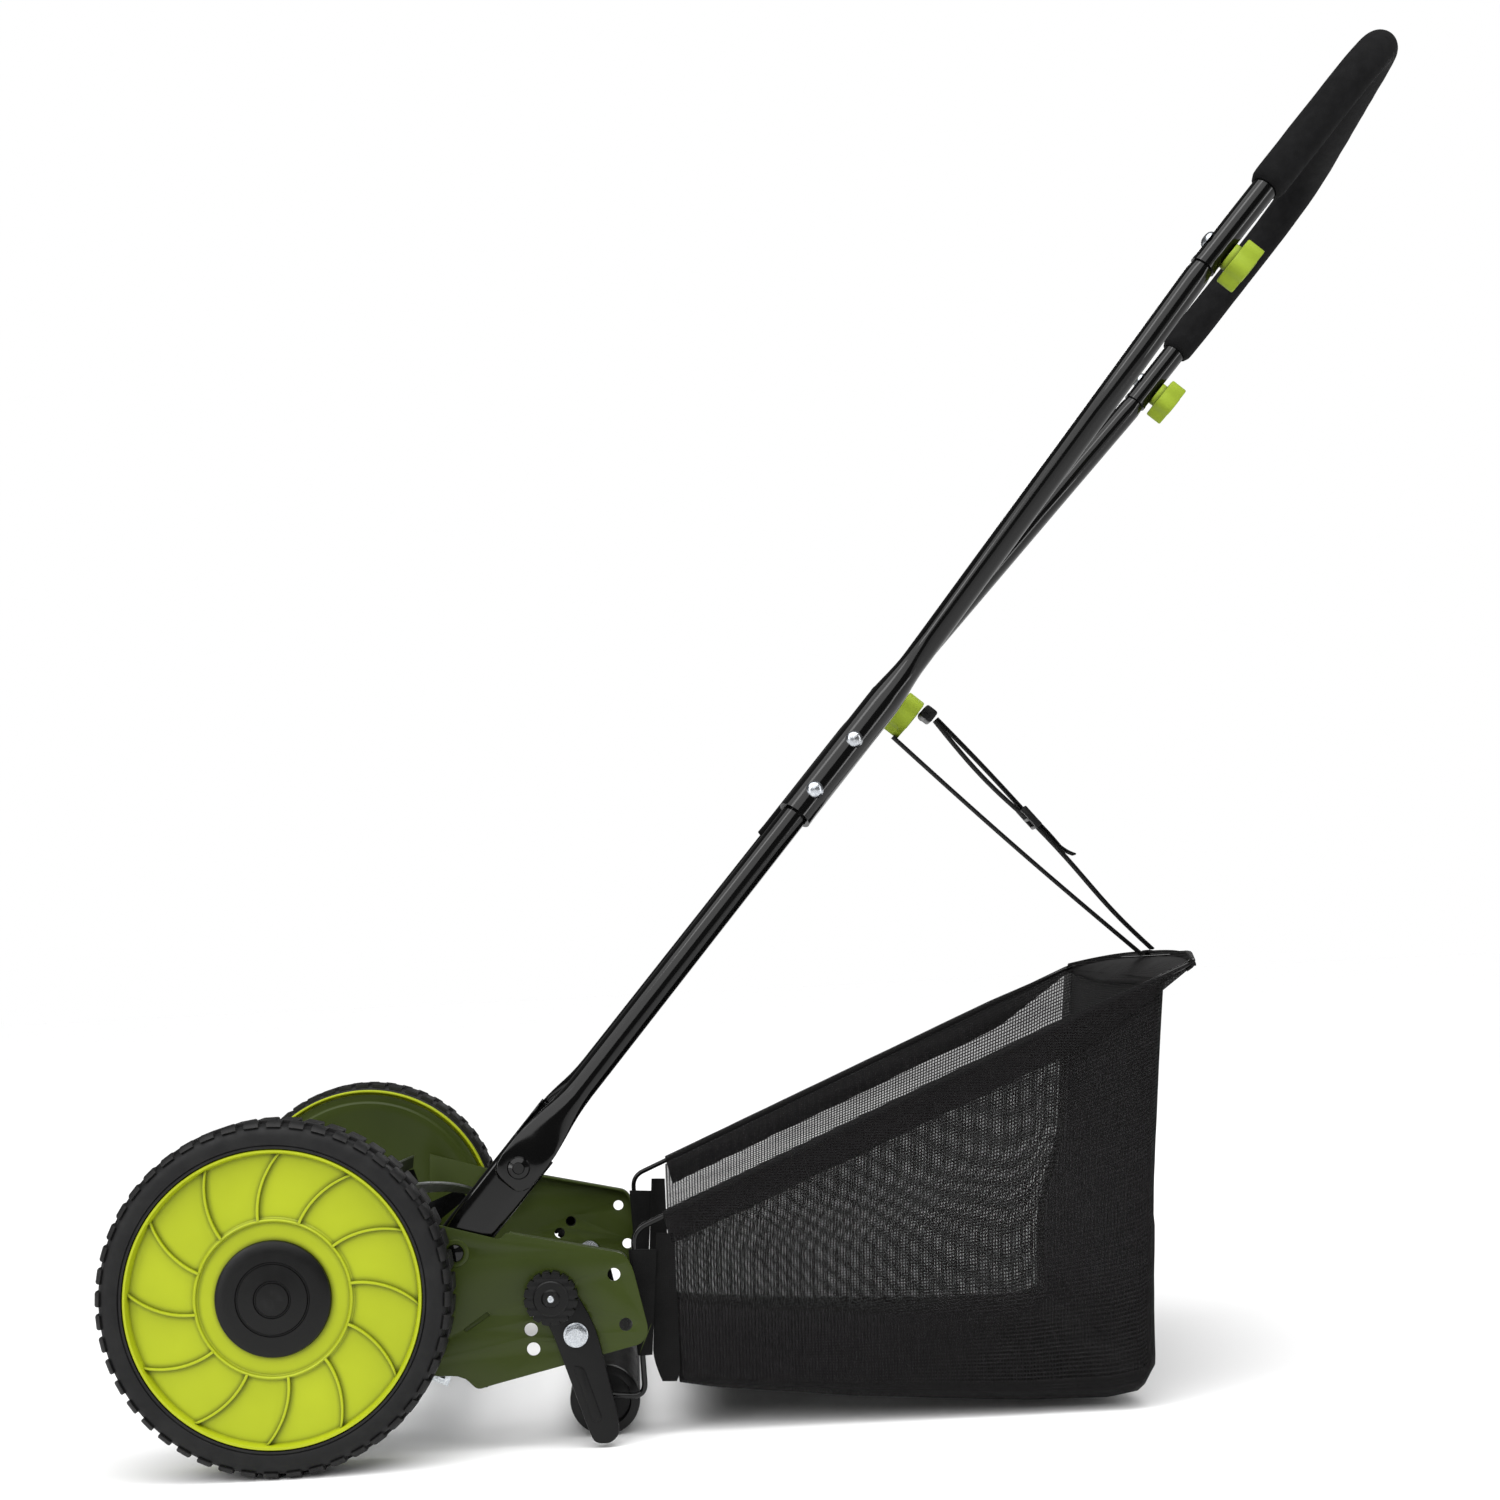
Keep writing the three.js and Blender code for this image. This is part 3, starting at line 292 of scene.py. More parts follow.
def mesh_cloth(name, pitch, hole, clear, veil, colour, light):
    """Open square mesh: clear is what its holes let through, veil what its threads do."""
    nodes = Nodes(name)
    across, along = threads(nodes, pitch)
    gap = hole / 2
    open_across = nodes.span(across, gap + 0.1, gap - 0.1, 0.0, 1.0)
    open_along = nodes.span(along, gap + 0.1, gap - 0.1, 0.0, 1.0)
    pattern = nodes.math("MULTIPLY", open_across, open_along)
    loose = nodes.span(nodes.noise(0.02, 4, (1, 4, 1), uv=True), 0.3, 0.7, 0.85, 1.0)
    opening = nodes.math("MULTIPLY", nodes.span(pattern, 0.0, 1.0, veil, clear), loose)
    closed = nodes.math("SUBTRACT", 1.0, opening)
    # Painted sheen: the threads running along are lighter toward their crests, broken into random streaks.
    streak = nodes.span(nodes.noise(0.03, 5, (1, 6, 1), uv=True), 0.35, 0.7, 0.0, 1.0)
    raised = nodes.span(along, gap, pitch / 2, 0.0, 1.0)
    crest_sheen = nodes.math("MULTIPLY", raised, nodes.span(streak, 0, 1, 0.5, 1))
    shade = nodes.mix(crest_sheen, colour, light)
    slack = nodes.bump(nodes.noise(26, 3), 0.0016, 0.3)
    return nodes.set(Base_Color=shade, Roughness=0.7, Alpha=closed, Normal=slack, Specular_IOR_Level=0.12)


def close_cloth(name, pitch, colour, light):
    nodes = Nodes(name)
    across, along = threads(nodes, pitch)
    shade = nodes.mix(nodes.span(nodes.noise(0.04, 5, uv=True), 0.3, 0.7, 0.0, 1.0), colour, light)
    weave = nodes.bump(nodes.math("MULTIPLY", across, along), 0.0005, 0.6)
    pucker = nodes.bump(nodes.noise(90, 3), 0.0014, 0.35, weave)
    return nodes.set(Base_Color=shade, Roughness=0.8, Normal=pucker, Specular_IOR_Level=0.15)


def pale_floor():
    nodes = Nodes("studio_floor")
    shade = nodes.mix(nodes.noise(3, 2), rgb(243, 243, 243), rgb(247, 247, 247))
    return nodes.set(Base_Color=shade, Roughness=0.9, Specular_IOR_Level=0.1)


LIME = moulded_plastic("lime_plastic", rgb(160, 171, 20), rgb(153, 164, 16), rgb(188, 198, 60), 0.4,
                       0.00003)
LIME_DULL = moulded_plastic("lime_knobs", rgb(134, 153, 38), rgb(128, 147, 35), rgb(156, 172, 70), 0.6,
                            0.00002, 0.2)
OLIVE = painted_steel("olive_paint", rgb(50, 60, 17), rgb(44, 54, 14), rgb(80, 94, 40), 0.34, 0.05, 0.2)
BLACK_PAINT = painted_steel("black_paint", rgb(6, 6, 6), rgb(4, 4, 4), rgb(14, 14, 14), 0.1, 0.0, 0.32)
BLACK_PLASTIC = moulded_plastic("black_plastic", rgb(11, 11, 11), rgb(8, 8, 8), rgb(28, 28, 28), 0.36,
                                0.00004, 0.22)
ZINC = bare_metal("zinc_plate", rgb(206, 210, 214), rgb(170, 175, 182), 0.24, (1, 1, 1), 0.00002)
STEEL = bare_metal("bare_steel", rgb(160, 163, 166), rgb(112, 114, 118), 0.34, (6, 0.15, 6))
RUBBER = tyre_rubber()
GRIP = grip_foam()
# In the mesh cloths the lighter colour is painted sheen on the thread crests.
BAG_MESH = mesh_cloth("bag_mesh", 2.5, 1.5, 0.72, 0.16, rgb(7, 7, 7), rgb(40, 38, 39))
BAG_BAND = mesh_cloth("bag_band", 2.1, 1.0, 0.36, 0.06, rgb(7, 7, 7), rgb(30, 28, 29))
BAG_LIP = mesh_cloth("bag_lip", 2.3, 0.9, 0.16, 0.03, rgb(7, 7, 7), rgb(40, 38, 39))
BINDING = close_cloth("bag_binding", 1.4, rgb(6, 6, 6), rgb(14, 14, 14))
WEBBING = close_cloth("strap_webbing", 1.1, rgb(6, 6, 6), rgb(15, 15, 15))


# ------------------------------------------------------------------ mesh building
def piece(name, mesh, body, material, replaces=(), smooth_angle=35, bevel=0.0, thick=0.0):
    """A finished piece from a mesh in machine millimetres."""
    mesh.transform(MACHINE)
    obj = bpy.data.objects.new(name, mesh)
    bpy.context.scene.collection.objects.link(obj)
    if material is not None:
        mesh.materials.clear()
        mesh.materials.append(material)
    for polygon in mesh.polygons:
        polygon.use_smooth = True
    mesh.set_sharp_from_angle(angle=math.radians(smooth_angle))
    if thick:
        solid = obj.modifiers.new("thickness", "SOLIDIFY")
        solid.thickness = thick / 1000
        solid.offset = 0.0
    if bevel:
        rounding = obj.modifiers.new("edges", "BEVEL")
        rounding.width = bevel / 1000
        rounding.segments = 2
        rounding.limit_method = "ANGLE"
        rounding.harden_normals = True
    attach(obj, body)
    if replaces:
        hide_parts(*replaces)
    return obj


def mesh_of(vertices, faces):
    mesh = bpy.data.meshes.new("mesh")
    mesh.from_pydata([tuple(v) for v in vertices], [], faces)
    mesh.update()
    return mesh


def merged(*meshes):
    """Several meshes in one."""
    work = bmesh.new()
    for mesh in meshes:
        work.from_mesh(mesh)
        bpy.data.meshes.remove(mesh)
    result = bpy.data.meshes.new("merged")
    work.to_mesh(result)
    work.free()
    return result


def outward(mesh):
    """The mesh with its faces turned outwards."""
    work = bmesh.new()
    work.from_mesh(mesh)
    bmesh.ops.remove_doubles(work, verts=work.verts, dist=1e-4)
    bmesh.ops.recalc_face_normals(work, faces=work.faces)
    work.to_mesh(mesh)
    work.free()
    return mesh


def skin(rings, count):
    """The faces that join equal rings of points in turn, closed at both ends."""
    faces = []
    for i in range(rings - 1):
        for j in range(count):
            k = (j + 1) % count
            faces.append((i * count + j, i * count + k, (i + 1) * count + k, (i + 1) * count + j))
    faces.append(tuple(range(count))[::-1])
    faces.append(tuple(range((rings - 1) * count, rings * count)))
    return faces


def lathe(profile, side=1, x=0.0, z=0.0, segments=96):
    """A closed profile of (radius, outboard) points turned about the Y axis at (x, z)."""
    vertices, faces = [], []
    count = len(profile)
    for step in range(segments):
        angle = 2 * math.pi * step / segments
        for radius, outboard in profile:
            vertices.append((x + radius * math.cos(angle), side * outboard, z + radius * math.sin(angle)))
    for step in range(segments):
        here, there = step * count, (step + 1) % segments * count
        for i in range(count):
            j = (i + 1) % count
            faces.append((here + i, here + j, there + j, there + i))
    return outward(mesh_of(vertices, faces))


def aimed(mesh, origin, direction):
    """A mesh made about the Y axis, moved to an origin with +Y turned to a direction."""
    turn = Vector((0, 1, 0)).rotation_difference(direction).to_matrix().to_4x4()
    mesh.transform(Matrix.Translation(origin) @ turn)
    return mesh


def corner_curve(enter, corner, leave, steps):
    """Points that turn smoothly past a corner."""
    points = []
    for step in range(steps + 1):
        t = step / steps
        points.append((1 - t) ** 2 * enter + 2 * t * (1 - t) * corner + t * t * leave)
    return points


def rounded(corners, steps=6):
    """An outline through (x, z, radius) corners, with an arc-like curve at each."""
    points = []
    for i, (x, z, radius) in enumerate(corners):
        here = Vector((x, z))
        if radius == 0:
            points.append(here)
            continue
        before = Vector(corners[i - 1][:2]) - here
        after = Vector(corners[(i + 1) % len(corners)][:2]) - here
        enter, leave = here + before.normalized() * radius, here + after.normalized() * radius
        points.extend(corner_curve(enter, here, leave, steps))
    return points


def circle(radius, x=0.0, z=0.0, count=32):
    turns = [2 * math.pi * i / count for i in range(count)]
    return [Vector((x + radius * math.cos(a), z + radius * math.sin(a))) for a in turns]


def mesh_from_curve(curve):
    """A curve's surface as a mesh. The curve is removed."""
    holder = bpy.data.objects.new("curve", curve)
    bpy.context.scene.collection.objects.link(holder)
    bpy.context.view_layer.update()
    mesh = bpy.data.meshes.new_from_object(holder.evaluated_get(bpy.context.evaluated_depsgraph_get()))
    bpy.data.objects.remove(holder)
    bpy.data.curves.remove(curve)
    return mesh


def slab(outline, inner, outer, side=1, holes=(), bevel=0.4):
    """A flat plate in the X-Z plane between two outboard distances, with round-edged rims."""
    curve = bpy.data.curves.new("outline", "CURVE")
    curve.dimensions = "2D"
    curve.fill_mode = "BOTH"
    curve.extrude = (outer - inner) / 2 - bevel
    curve.bevel_depth = bevel
    curve.bevel_resolution = 1
    curve.offset = -bevel
    for loop in (outline, *holes):
        spline = curve.splines.new("POLY")
        spline.points.add(len(loop) - 1)
        for point, place in zip(spline.points, loop):
            point.co = (place[0], place[1], 0, 1)
        spline.use_cyclic_u = True
    mesh = mesh_from_curve(curve)
    mesh.materials.clear()
    middle = side * (inner + outer) / 2
    mesh.transform(Matrix.Translation((0, middle, 0)) @ Matrix.Rotation(math.pi / 2, 4, "X"))
    return outward(mesh)


def bent(corners, reach, steps=10):
    """A path through corners that turns smoothly within a reach of each."""
    path = [corners[0]]
    for before, here, after in zip(corners, corners[1:], corners[2:]):
        enter = here + (before - here).normalized() * reach
        leave = here + (after - here).normalized() * reach
        path.extend(corner_curve(enter, here, leave, steps))
    path.append(corners[-1])
    return path


def refined(path, spacing):
    """The path with points added, so that they lie about a spacing apart."""
    points = []
    for before, after in zip(path, path[1:]):
        parts = max(1, round((after - before).length / spacing))
        points.extend(before.lerp(after, i / parts) for i in range(parts))
    points.append(path[-1])
    return points


def sweep(path, sizes, reference, around=32, boxy=1.0):
    """A round or flattened bar along a path. sizes holds (across, deep) half-widths, one per point.

    A boxy value below 1 squares the section where its two half-widths differ."""
    vertices = []
    last = len(path) - 1
    for i, (point, (half_across, half_deep)) in enumerate(zip(path, sizes)):
        tangent = (path[min(i + 1, last)] - path[max(i - 1, 0)]).normalized()
        across = reference.cross(tangent).normalized()
        deep = tangent.cross(across).normalized()
        flatness = 1 - min(half_across, half_deep) / max(half_across, half_deep)
        power = 1 + (boxy - 1) * flatness
        for step in range(around):
            angle = 2 * math.pi * step / around
            out = math.copysign(abs(math.sin(angle)) ** power, math.sin(angle))
            vertices.append(point + across * half_across * math.cos(angle) + deep * half_deep * out)
    return outward(mesh_of(vertices, skin(len(path), around)))


def tube(path, radius, reference, around=32):
    return sweep(path, [(radius, radius)] * len(path), reference, around)


def uv_grid(rows):
    """A sheet through rows of points, with a UV map in millimetres of cloth."""
    vertices = [point for row in rows for point in row]
    width = len(rows[0])
    faces, corners = [], []
    along = [0.0]
    for before, row in zip(rows, rows[1:]):
        along.append(along[-1] + (row[width // 2] - before[width // 2]).length)
    across = [0.0]
    middle = rows[len(rows) // 2]
    for before, point in zip(middle, middle[1:]):
        across.append(across[-1] + (point - before).length)
    for i in range(len(rows) - 1):
        for j in range(width - 1):
            quad = ((i, j), (i, j + 1), (i + 1, j + 1), (i + 1, j))
            faces.append([a * width + b for a, b in quad])
            corners.extend((along[a], across[b]) for a, b in quad)
    mesh = mesh_of(vertices, faces)
    layer = mesh.uv_layers.new(name="cloth")
    for loop, place in zip(layer.data, corners):
        loop.uv = place
    return mesh


def box_uv(mesh):
    """A UV map in millimetres, seen from each face's main direction."""
    layer = mesh.uv_layers.new(name="cloth")
    for polygon in mesh.polygons:
        size = [abs(c) for c in polygon.normal]
        drop = size.index(max(size))
        first, second = [axis for axis in range(3) if axis != drop]
        for index in polygon.loop_indices:
            place = mesh.vertices[mesh.loops[index].vertex_index].co
            layer.data[index].uv = (place[first], place[second])
    return mesh


# ------------------------------------------------------------------ wheels
def wheel_rib(index, side):
    """A rib that starts nearly radial at the hub ring and sweeps towards the rim."""
    edges = ([], [])
    for step in range(13):
        share = step / 12
        radius = 56.5 + 48 * share
        angle = math.radians(101.5 + 360 / RIBS * index) - math.radians(13.4) * share ** 1.5
        for edge, offset in zip(edges, (-1.0, 1.0)):
            turn = angle + offset / radius
            edge.append(Vector((-side * radius * math.cos(turn), radius * math.sin(turn))))
    return slab(edges[0] + edges[1][::-1], 286.6, 291.4, side, bevel=0.45)


def gear_outline(teeth, root, tip):
    """Tooth tips and roots of a ring gear, as one outline."""
    points = []
    for tooth in range(teeth):
        for radius, share in ((root, -0.3), (tip, -0.17), (tip, 0.17), (root, 0.3)):
            angle = 2 * math.pi * (tooth + share) / teeth
            points.append(Vector((radius * math.cos(angle), radius * math.sin(angle))))
    return points


def make_wheel(side, name):
    disc = lathe([
        (9.5, 247), (21, 246), (22, 247), (22.5, 281), (24, 283), (98, 283), (99.6, 281), (100, 247),
        (101, 246), (118.4, 246), (119.4, 245.4), (119.6, 241), (120.4, 240.4), (121.2, 240.4),
        (121.8, 241), (121.8, 248.6), (121.2, 249.4), (109.5, 249.6), (107.6, 251), (107.5, 293.6),
        (106.7, 294.8), (105.2, 294.8),
        (104.3, 293.6), (103.9, 289), (103.2, 287.6), (58.4, 287.5), (57.4, 288.2), (57.1, 290.7),
        (56.3, 291.2), (55.5, 290.7), (55.2, 288.2), (54.4, 287.5), (9.5, 287.5),
    ], side, segments=144)
    ring = slab(circle(76, count=96), 264, 284, side, [gear_outline(RING_TEETH, 71, 66.6)], 0.2)
    ribs = [wheel_rib(i, side) for i in range(RIBS)]
    piece(f"wheel_{name}_moulding", merged(disc, ring, *ribs), f"wheel_{name}", LIME,
          [f"wheel_{name}"])
    cap = lathe([
        (0.01, 288.0), (39.6, 287.8), (41.6, 288.6), (42, 290), (41.3, 291.8), (38.6, 293.2), (33, 293.8),
        (26.9, 294.1), (26.3, 293.2), (25.5, 293.2), (24.9, 294.3), (13.6, 295.4), (13, 294.4), (12.2, 294.4),
        (11.6, 295.4), (6, 295.8), (0.01, 295.9),
    ], side, segments=96)
    piece(f"hub_cap_{name}_dome", cap, f"wheel_{name}", BLACK_PLASTIC, [f"hub_cap_{name}"])


def tread_block(profile, middle, spread, side):
    """One rubber block: a (radius, outboard) outline carried round a short arc."""
    vertices, faces = [], []
    count = len(profile)
    turns = (-spread / 2, -spread / 2 + 0.008, spread / 2 - 0.008, spread / 2)
    for turn in turns:
        shrink = 0.55 if abs(turn) == spread / 2 else 0.0
        for radius, outboard in profile:
            angle = middle + turn
            lowered = radius - shrink if radius > 125.6 else radius
            vertices.append((lowered * math.cos(angle), side * outboard, lowered * math.sin(angle)))
    for row in range(len(turns) - 1):
        for i in range(count):
            j = (i + 1) % count
            faces.append((row * count + i, row * count + j, (row + 1) * count + j, (row + 1) * count + i))
    faces.append(tuple(range(count)))
    faces.append(tuple(range((len(turns) - 1) * count, len(turns) * count))[::-1])
    return vertices, faces


def make_tyre(side, name):
    carcass = lathe([
        (107.9, 250.4), (119, 250.2), (122.5, 251), (124.6, 253), (125.2, 256), (125.2, 286), (124.6, 290),
        (123.4, 293), (121, 294.9), (117.5, 295.7), (112.5, 295.8), (110.6, 295.3), (110, 294.4),
        (109.4, 295.2), (107.9, 295),
    ], side, segments=144)
    shoulder = [(124, 281), (128.1, 281.4), (128.1, 287.4), (127.4, 291), (125.6, 293.8), (123.6, 295.2),
                (122.4, 292)]
    crown = [(124, 251.6), (126.8, 251.4), (128.1, 253.4), (128.1, 278.2), (127.4, 279), (124, 279)]
    vertices, faces = [], []
    pitch = 2 * math.pi / TREAD_BLOCKS
    for index in range(TREAD_BLOCKS):
        for profile, offset, spread in ((shoulder, 0.0, 0.083), (crown, 0.5, 0.096)):
            block, sides = tread_block(profile, (index + offset) * pitch, spread, side)
            start = len(vertices)
            vertices.extend(block)
            faces.extend([tuple(start + i for i in face) for face in sides])
    tread = outward(mesh_of(vertices, faces))
    piece(f"tyre_{name}_tread", merged(carcass, tread), f"wheel_{name}", RUBBER,
          [f"tyre_{name}"])


# ------------------------------------------------------------------ deck
def plate_holes():
    reach = math.hypot(HEIGHT_KNOB[0] - ARM_PIVOT[0], HEIGHT_KNOB[1] - ARM_PIVOT[1])
    holes = [circle(4.8, 244, 10, 20), circle(4.9, 253, -27, 20)]
    for degrees in (123, 150, 175, 200):
        angle = math.radians(degrees)
        across, up = reach * math.cos(angle), reach * math.sin(angle)
        holes.append(circle(5, ARM_PIVOT[0] + across, ARM_PIVOT[1] + up, 20))
    holes.append(rounded(PLATE_SLOT))
    holes.append(circle(4.8, *HANDLE_PIVOT, 20))
    holes.append(circle(6.3, *ARM_PIVOT, 20))
    return holes


def make_plate(side, name):
    tail = rounded([
        (60, -64, 0), (130, -65, 4), (134, -66.5, 4), (143, -75, 4), (156, -71, 4), (266, -41, 6),
        (270, -31, 5), (258, 15, 6), (252, 25.5, 6), (164, 41, 2), (159, 36, 3), (104, 49, 6), (60, 60, 0),
    ])
    sheet = slab(tail, PLATE_INNER, PLATE_OUTER, side, plate_holes(), 0.35)
    flange = slab(rounded([
        (166, 40.6, 0), (251.4, 25.6, 5), (257.5, 15, 5), (269.4, -31, 4), (265.6, -41, 5), (160, -69.8, 0),
        (160, -68.2, 0), (264.6, -39.8, 4), (267.6, -31, 4), (256, 14.6, 4), (250.6, 24.2, 5), (166, 39, 0),
    ]), PLATE_INNER - 10, PLATE_OUTER - 0.2, side, bevel=0.3)
    drum = lathe([
        (9.7, 240.1), (15.7, 239.6), (98, 239.6), (101, 238), (109, 238), (111, 240), (116.2, 240.2),
        (117.2, 239.6), (117.6, 241.4), (117.4, 242.6), (110, 242.6), (108, 240.6), (102, 240.6),
        (99, 242.4), (16, 242.5), (9.7, 242.5),
    ], side, segments=144)
    rolled = lathe([(6.2, 239.2), (10.4, 239.6), (10.2, 240.5), (8.6, 241), (6.6, 240.6)], side,
                   *HANDLE_PIVOT, segments=40)
    recess = slab(rounded([(129, -31, 2), (135, -36, 2), (156, -21, 2), (150, -14, 2)]), PLATE_INNER + 0.1,
                  PLATE_OUTER - 1.3, side, bevel=0.2)
    piece(f"side_plate_{name}_pressing", merged(sheet, flange, drum, rolled, recess), "deck",
          OLIVE, [f"side_plate_{name}"])


def make_reel():
    """Five twisted blades, each a thin strip with a raked edge."""
    section = ((49.5, -1.4), (49.5, 1.4), (57, 3.2), (60.8, 4.6), (61, 2.4), (57, 0.6))
    steps = 60
    blades = []
    for index in range(BLADES):
        vertices = []
        for step in range(steps + 1):
            y = REEL_HALF * (2 * step / steps - 1)
            angle = math.pi / 2 - ((index + 0.3) * 2 * math.pi / BLADES + BLADE_TWIST * y / (2 * REEL_HALF))
            radial = Vector((math.cos(angle), 0, math.sin(angle)))
            tangent = Vector((math.sin(angle), 0, -math.cos(angle)))
            for radius, lean in section:
                vertices.append(Vector((REEL_X, y, 0)) + radial * radius + tangent * lean)
        blades.append(outward(mesh_of(vertices, skin(steps + 1, len(section)))))
    piece("reel_blade_set", merged(*blades), "reel", REEL_PAINT,
          [f"reel_blade_{i + 1}" for i in range(BLADES)])


def reel_paint():
    """Black paint, ground to bright steel on the outer edge of each blade."""
    nodes = Nodes("reel_paint")
    low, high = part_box("reel_shaft")
    centre = (low + high) / 2
    places = nodes.tree.nodes.new("ShaderNodeTexCoord").outputs["Object"]
    axis = nodes.add("ShaderNodeSeparateXYZ", Vector=places)
    across = nodes.math("SUBTRACT", axis.outputs["X"], centre.x)
    upward = nodes.math("SUBTRACT", axis.outputs["Z"], centre.z)
    square = nodes.math("ADD", nodes.math("MULTIPLY", across, across), nodes.math("MULTIPLY", upward, upward))
    radius = nodes.math("SQRT", square)
    ragged = nodes.math("ADD", radius, nodes.span(nodes.noise(300, 4), 0, 1, -0.0008, 0.0008))
    ground = nodes.span(ragged, 0.0592, 0.0598, 0.0, 1.0)
    paint = nodes.mix(nodes.noise(40, 4), rgb(18, 18, 20), rgb(30, 30, 32))
    grind = nodes.bump(nodes.noise(1400, 3), 0.00006, 0.5)
    return nodes.set(
        Base_Color=nodes.mix(ground, paint, rgb(176, 178, 180)), Metallic=ground,
        Roughness=nodes.span(nodes.noise(80, 4), 0.3, 0.7, 0.28, 0.42), Normal=grind,
    )


REEL_PAINT = reel_paint()


# ------------------------------------------------------------------ handle
def make_lower_tube(side, name):
    """The tube is pressed flat round its bolt and swells back to round above it."""
    shape = ((-15.6, 7, 1.2), (-14.4, 10.5, 2.2), (-11.5, 13.6, 2.5), (-6.5, 15.9, 2.6), (0, 16.6, 2.6),
             (14, 16.6, 2.6), (24, 16, 3.1), (32, 15, 4.2), (40, 13.8, 5.8), (48, 12.5, 7.6), (56, 11.5, 9.2),
             (64, 10.9, 10.2), (74, 10.6, 10.6))
    flat_until, round_from, foot = 14, 74, 237.2
    path, sizes = [], []
    for along, wide, deep in shape:
        share = clamped((along - flat_until) / (round_from - flat_until))
        path.append(handle_point(along, side * (foot + (leg_half(round_from) - foot) * share)))
        sizes.append((wide, deep))
    for step in range(1, 9):
        path.append(leg_point(round_from + (SLEEVE_START + 30 - round_from) * step / 8, side))
        sizes.append((TUBE + 0.1, TUBE + 0.1))
    mesh = sweep(path, sizes, Vector((0, 1, 0)), 40, boxy=0.45)
    piece(f"lower_tube_{name}_steel", mesh, "handle", BLACK_PAINT, [f"lower_tube_{name}"],
          smooth_angle=60)


def make_bracket(side, name):
    """The pressed channel between the tube's foot and the plate, with its bolt and its pivot stud."""
    rows = []
    for i in range(33):
        along = -96 + 114 * i / 32
        end = min(along + 96, 18 - along)
        half = 17 * math.sqrt(max(0.02, 1 - max(0.0, 1 - end / 13) ** 2)) if along < -60 else 17
        lip = 9.5 * min(1.0, max(0.0, (end - 2) / 16))
        section = [(-half, 231 - lip), (-half, 229.5), (-half + 0.9, 231.7), (-half + 3, 232.6)]
        row = [handle_point(along, side * outboard, below) for below, outboard in section]
        row += [handle_point(along, side * 232.7, t * half) for t in (-0.5, 0, 0.5)]
        row += [handle_point(along, side * outboard, -below) for below, outboard in section[::-1]]
        rows.append(row)
    channel = uv_grid(rows)
    x, z = HANDLE_PIVOT
    stud = lathe([(0.01, 227.6), (7, 228), (7, 232), (4.5, 232), (4.5, 240.2), (6.4, 240.3), (6, 242),
                  (3.6, 243), (0.01, 243.1)], side, x, z, 40)
    piece(f"handle_bracket_{name}_channel", channel, "handle", BLACK_PAINT,
          [f"handle_bracket_{name}"], smooth_angle=50, thick=1.9)
    piece(f"handle_bracket_{name}_stud", stud, "handle", BLACK_PAINT)
    bolt = lathe([(0.01, 225.6), (7, 225.8), (7.3, 230.4), (4, 230.8), (4, 239), (8.4, 239.4), (8.6, 240.4),
                  (7.6, 242.4), (4.6, 243.6), (4, 242.9), (0.01, 242.9)], side, *HANDLE_BOLT, 40)
    piece(f"bracket_bolt_{name}_head", bolt, "handle", BLACK_PAINT, [f"bracket_bolt_{name}"])


def make_middle_tube(side, name):
    """The wide sleeve, the bend at the waist, the bend at the shoulder and a necked top end."""
    corners = [leg_point(along, side) for along in (SLEEVE_START, WAIST, SHOULDER, UPPER_JOINT)]
    path = refined(bent(corners, 34, 14), 9)
    sizes = []
    for point in path:
        along = (point - handle_point(0, 0)).dot(UP_HANDLE)
        radius = SLEEVE + (10.4 - SLEEVE) * eased((along - 462) / 46)
        if along < SLEEVE_START + 4:
            radius = SLEEVE + 0.3
        radius -= 1.2 * clamped((along - UPPER_JOINT + 9) / 8)
        sizes.append((radius, radius))
    wide = sweep(path, sizes, UNDERSIDE, 36)
    neck = tube([leg_point(UPPER_JOINT - 6, side), leg_point(UPPER_JOINT + 14, side)], 9.2, UNDERSIDE)
    piece(f"middle_tube_{name}_steel", merged(wide, neck), "handle", BLACK_PAINT,
          [f"middle_tube_{name}"], smooth_angle=60)


def loop_path(start):
    half = SHOULDER_HALF
    corners = [handle_point(start, -half), handle_point(CROSSBAR, -half), handle_point(CROSSBAR, half),
               handle_point(start, half)]
    return bent(corners, LOOP_CORNER, 22)


def make_upper_handle():
    """The loop of tube, its two rolled lips, and the foam sleeve with softly rounded ends."""
    loop = tube(loop_path(UPPER_JOINT), TUBE, UNDERSIDE, 36)
    lip_ends = (UPPER_JOINT - 0.5, UPPER_JOINT + 2.5)
    lips = [tube([leg_point(along, side) for along in lip_ends], TUBE + 0.35, UNDERSIDE) for side, _ in SIDES]
    piece("upper_handle_steel", merged(loop, *lips), "handle", BLACK_PAINT, ["upper_handle"],
          smooth_angle=60)
    path = loop_path(FOAM_START)
    path[0] += UP_HANDLE * FOAM_LEAN
    path[-1] -= UP_HANDLE * FOAM_LEAN
    spacing = 4
    path = refined(path, spacing)
    sizes = []
    for i, point in enumerate(path):
        from_end = min(i, len(path) - 1 - i) * spacing
        radius = FOAM - 2.2 * math.exp(-from_end / 2.2) + 0.35 * noise.noise(point / 22)
        sizes.append((radius, radius))
    grip = piece("foam_grip_sleeve", sweep(path, sizes, UNDERSIDE, 40), "handle", GRIP,
                 ["foam_grip"], smooth_angle=70)


def knob_mesh(origin, direction, lobes=5):
    """A hand knob with rounded lobes over a short hub."""
    outline = []
    steps = 120
    for i in range(steps):
        angle = 2 * math.pi * i / steps
        radius = 18.4 + 2.0 * math.cos(lobes * angle)
        outline.append(Vector((radius * math.cos(angle), radius * math.sin(angle))))
    body = slab(outline, 5, 21, bevel=1.2)
    hub = lathe([(3.4, -0.2), (10.6, 0), (11, 0.6), (11, 5.6), (3.4, 5.6)], segments=48)
    top = lathe([(0.01, 20.4), (9.6, 20.6), (10, 21.2), (8.8, 21.6), (0.01, 21.4)], segments=48)
    return aimed(merged(body, hub, top), origin, direction)


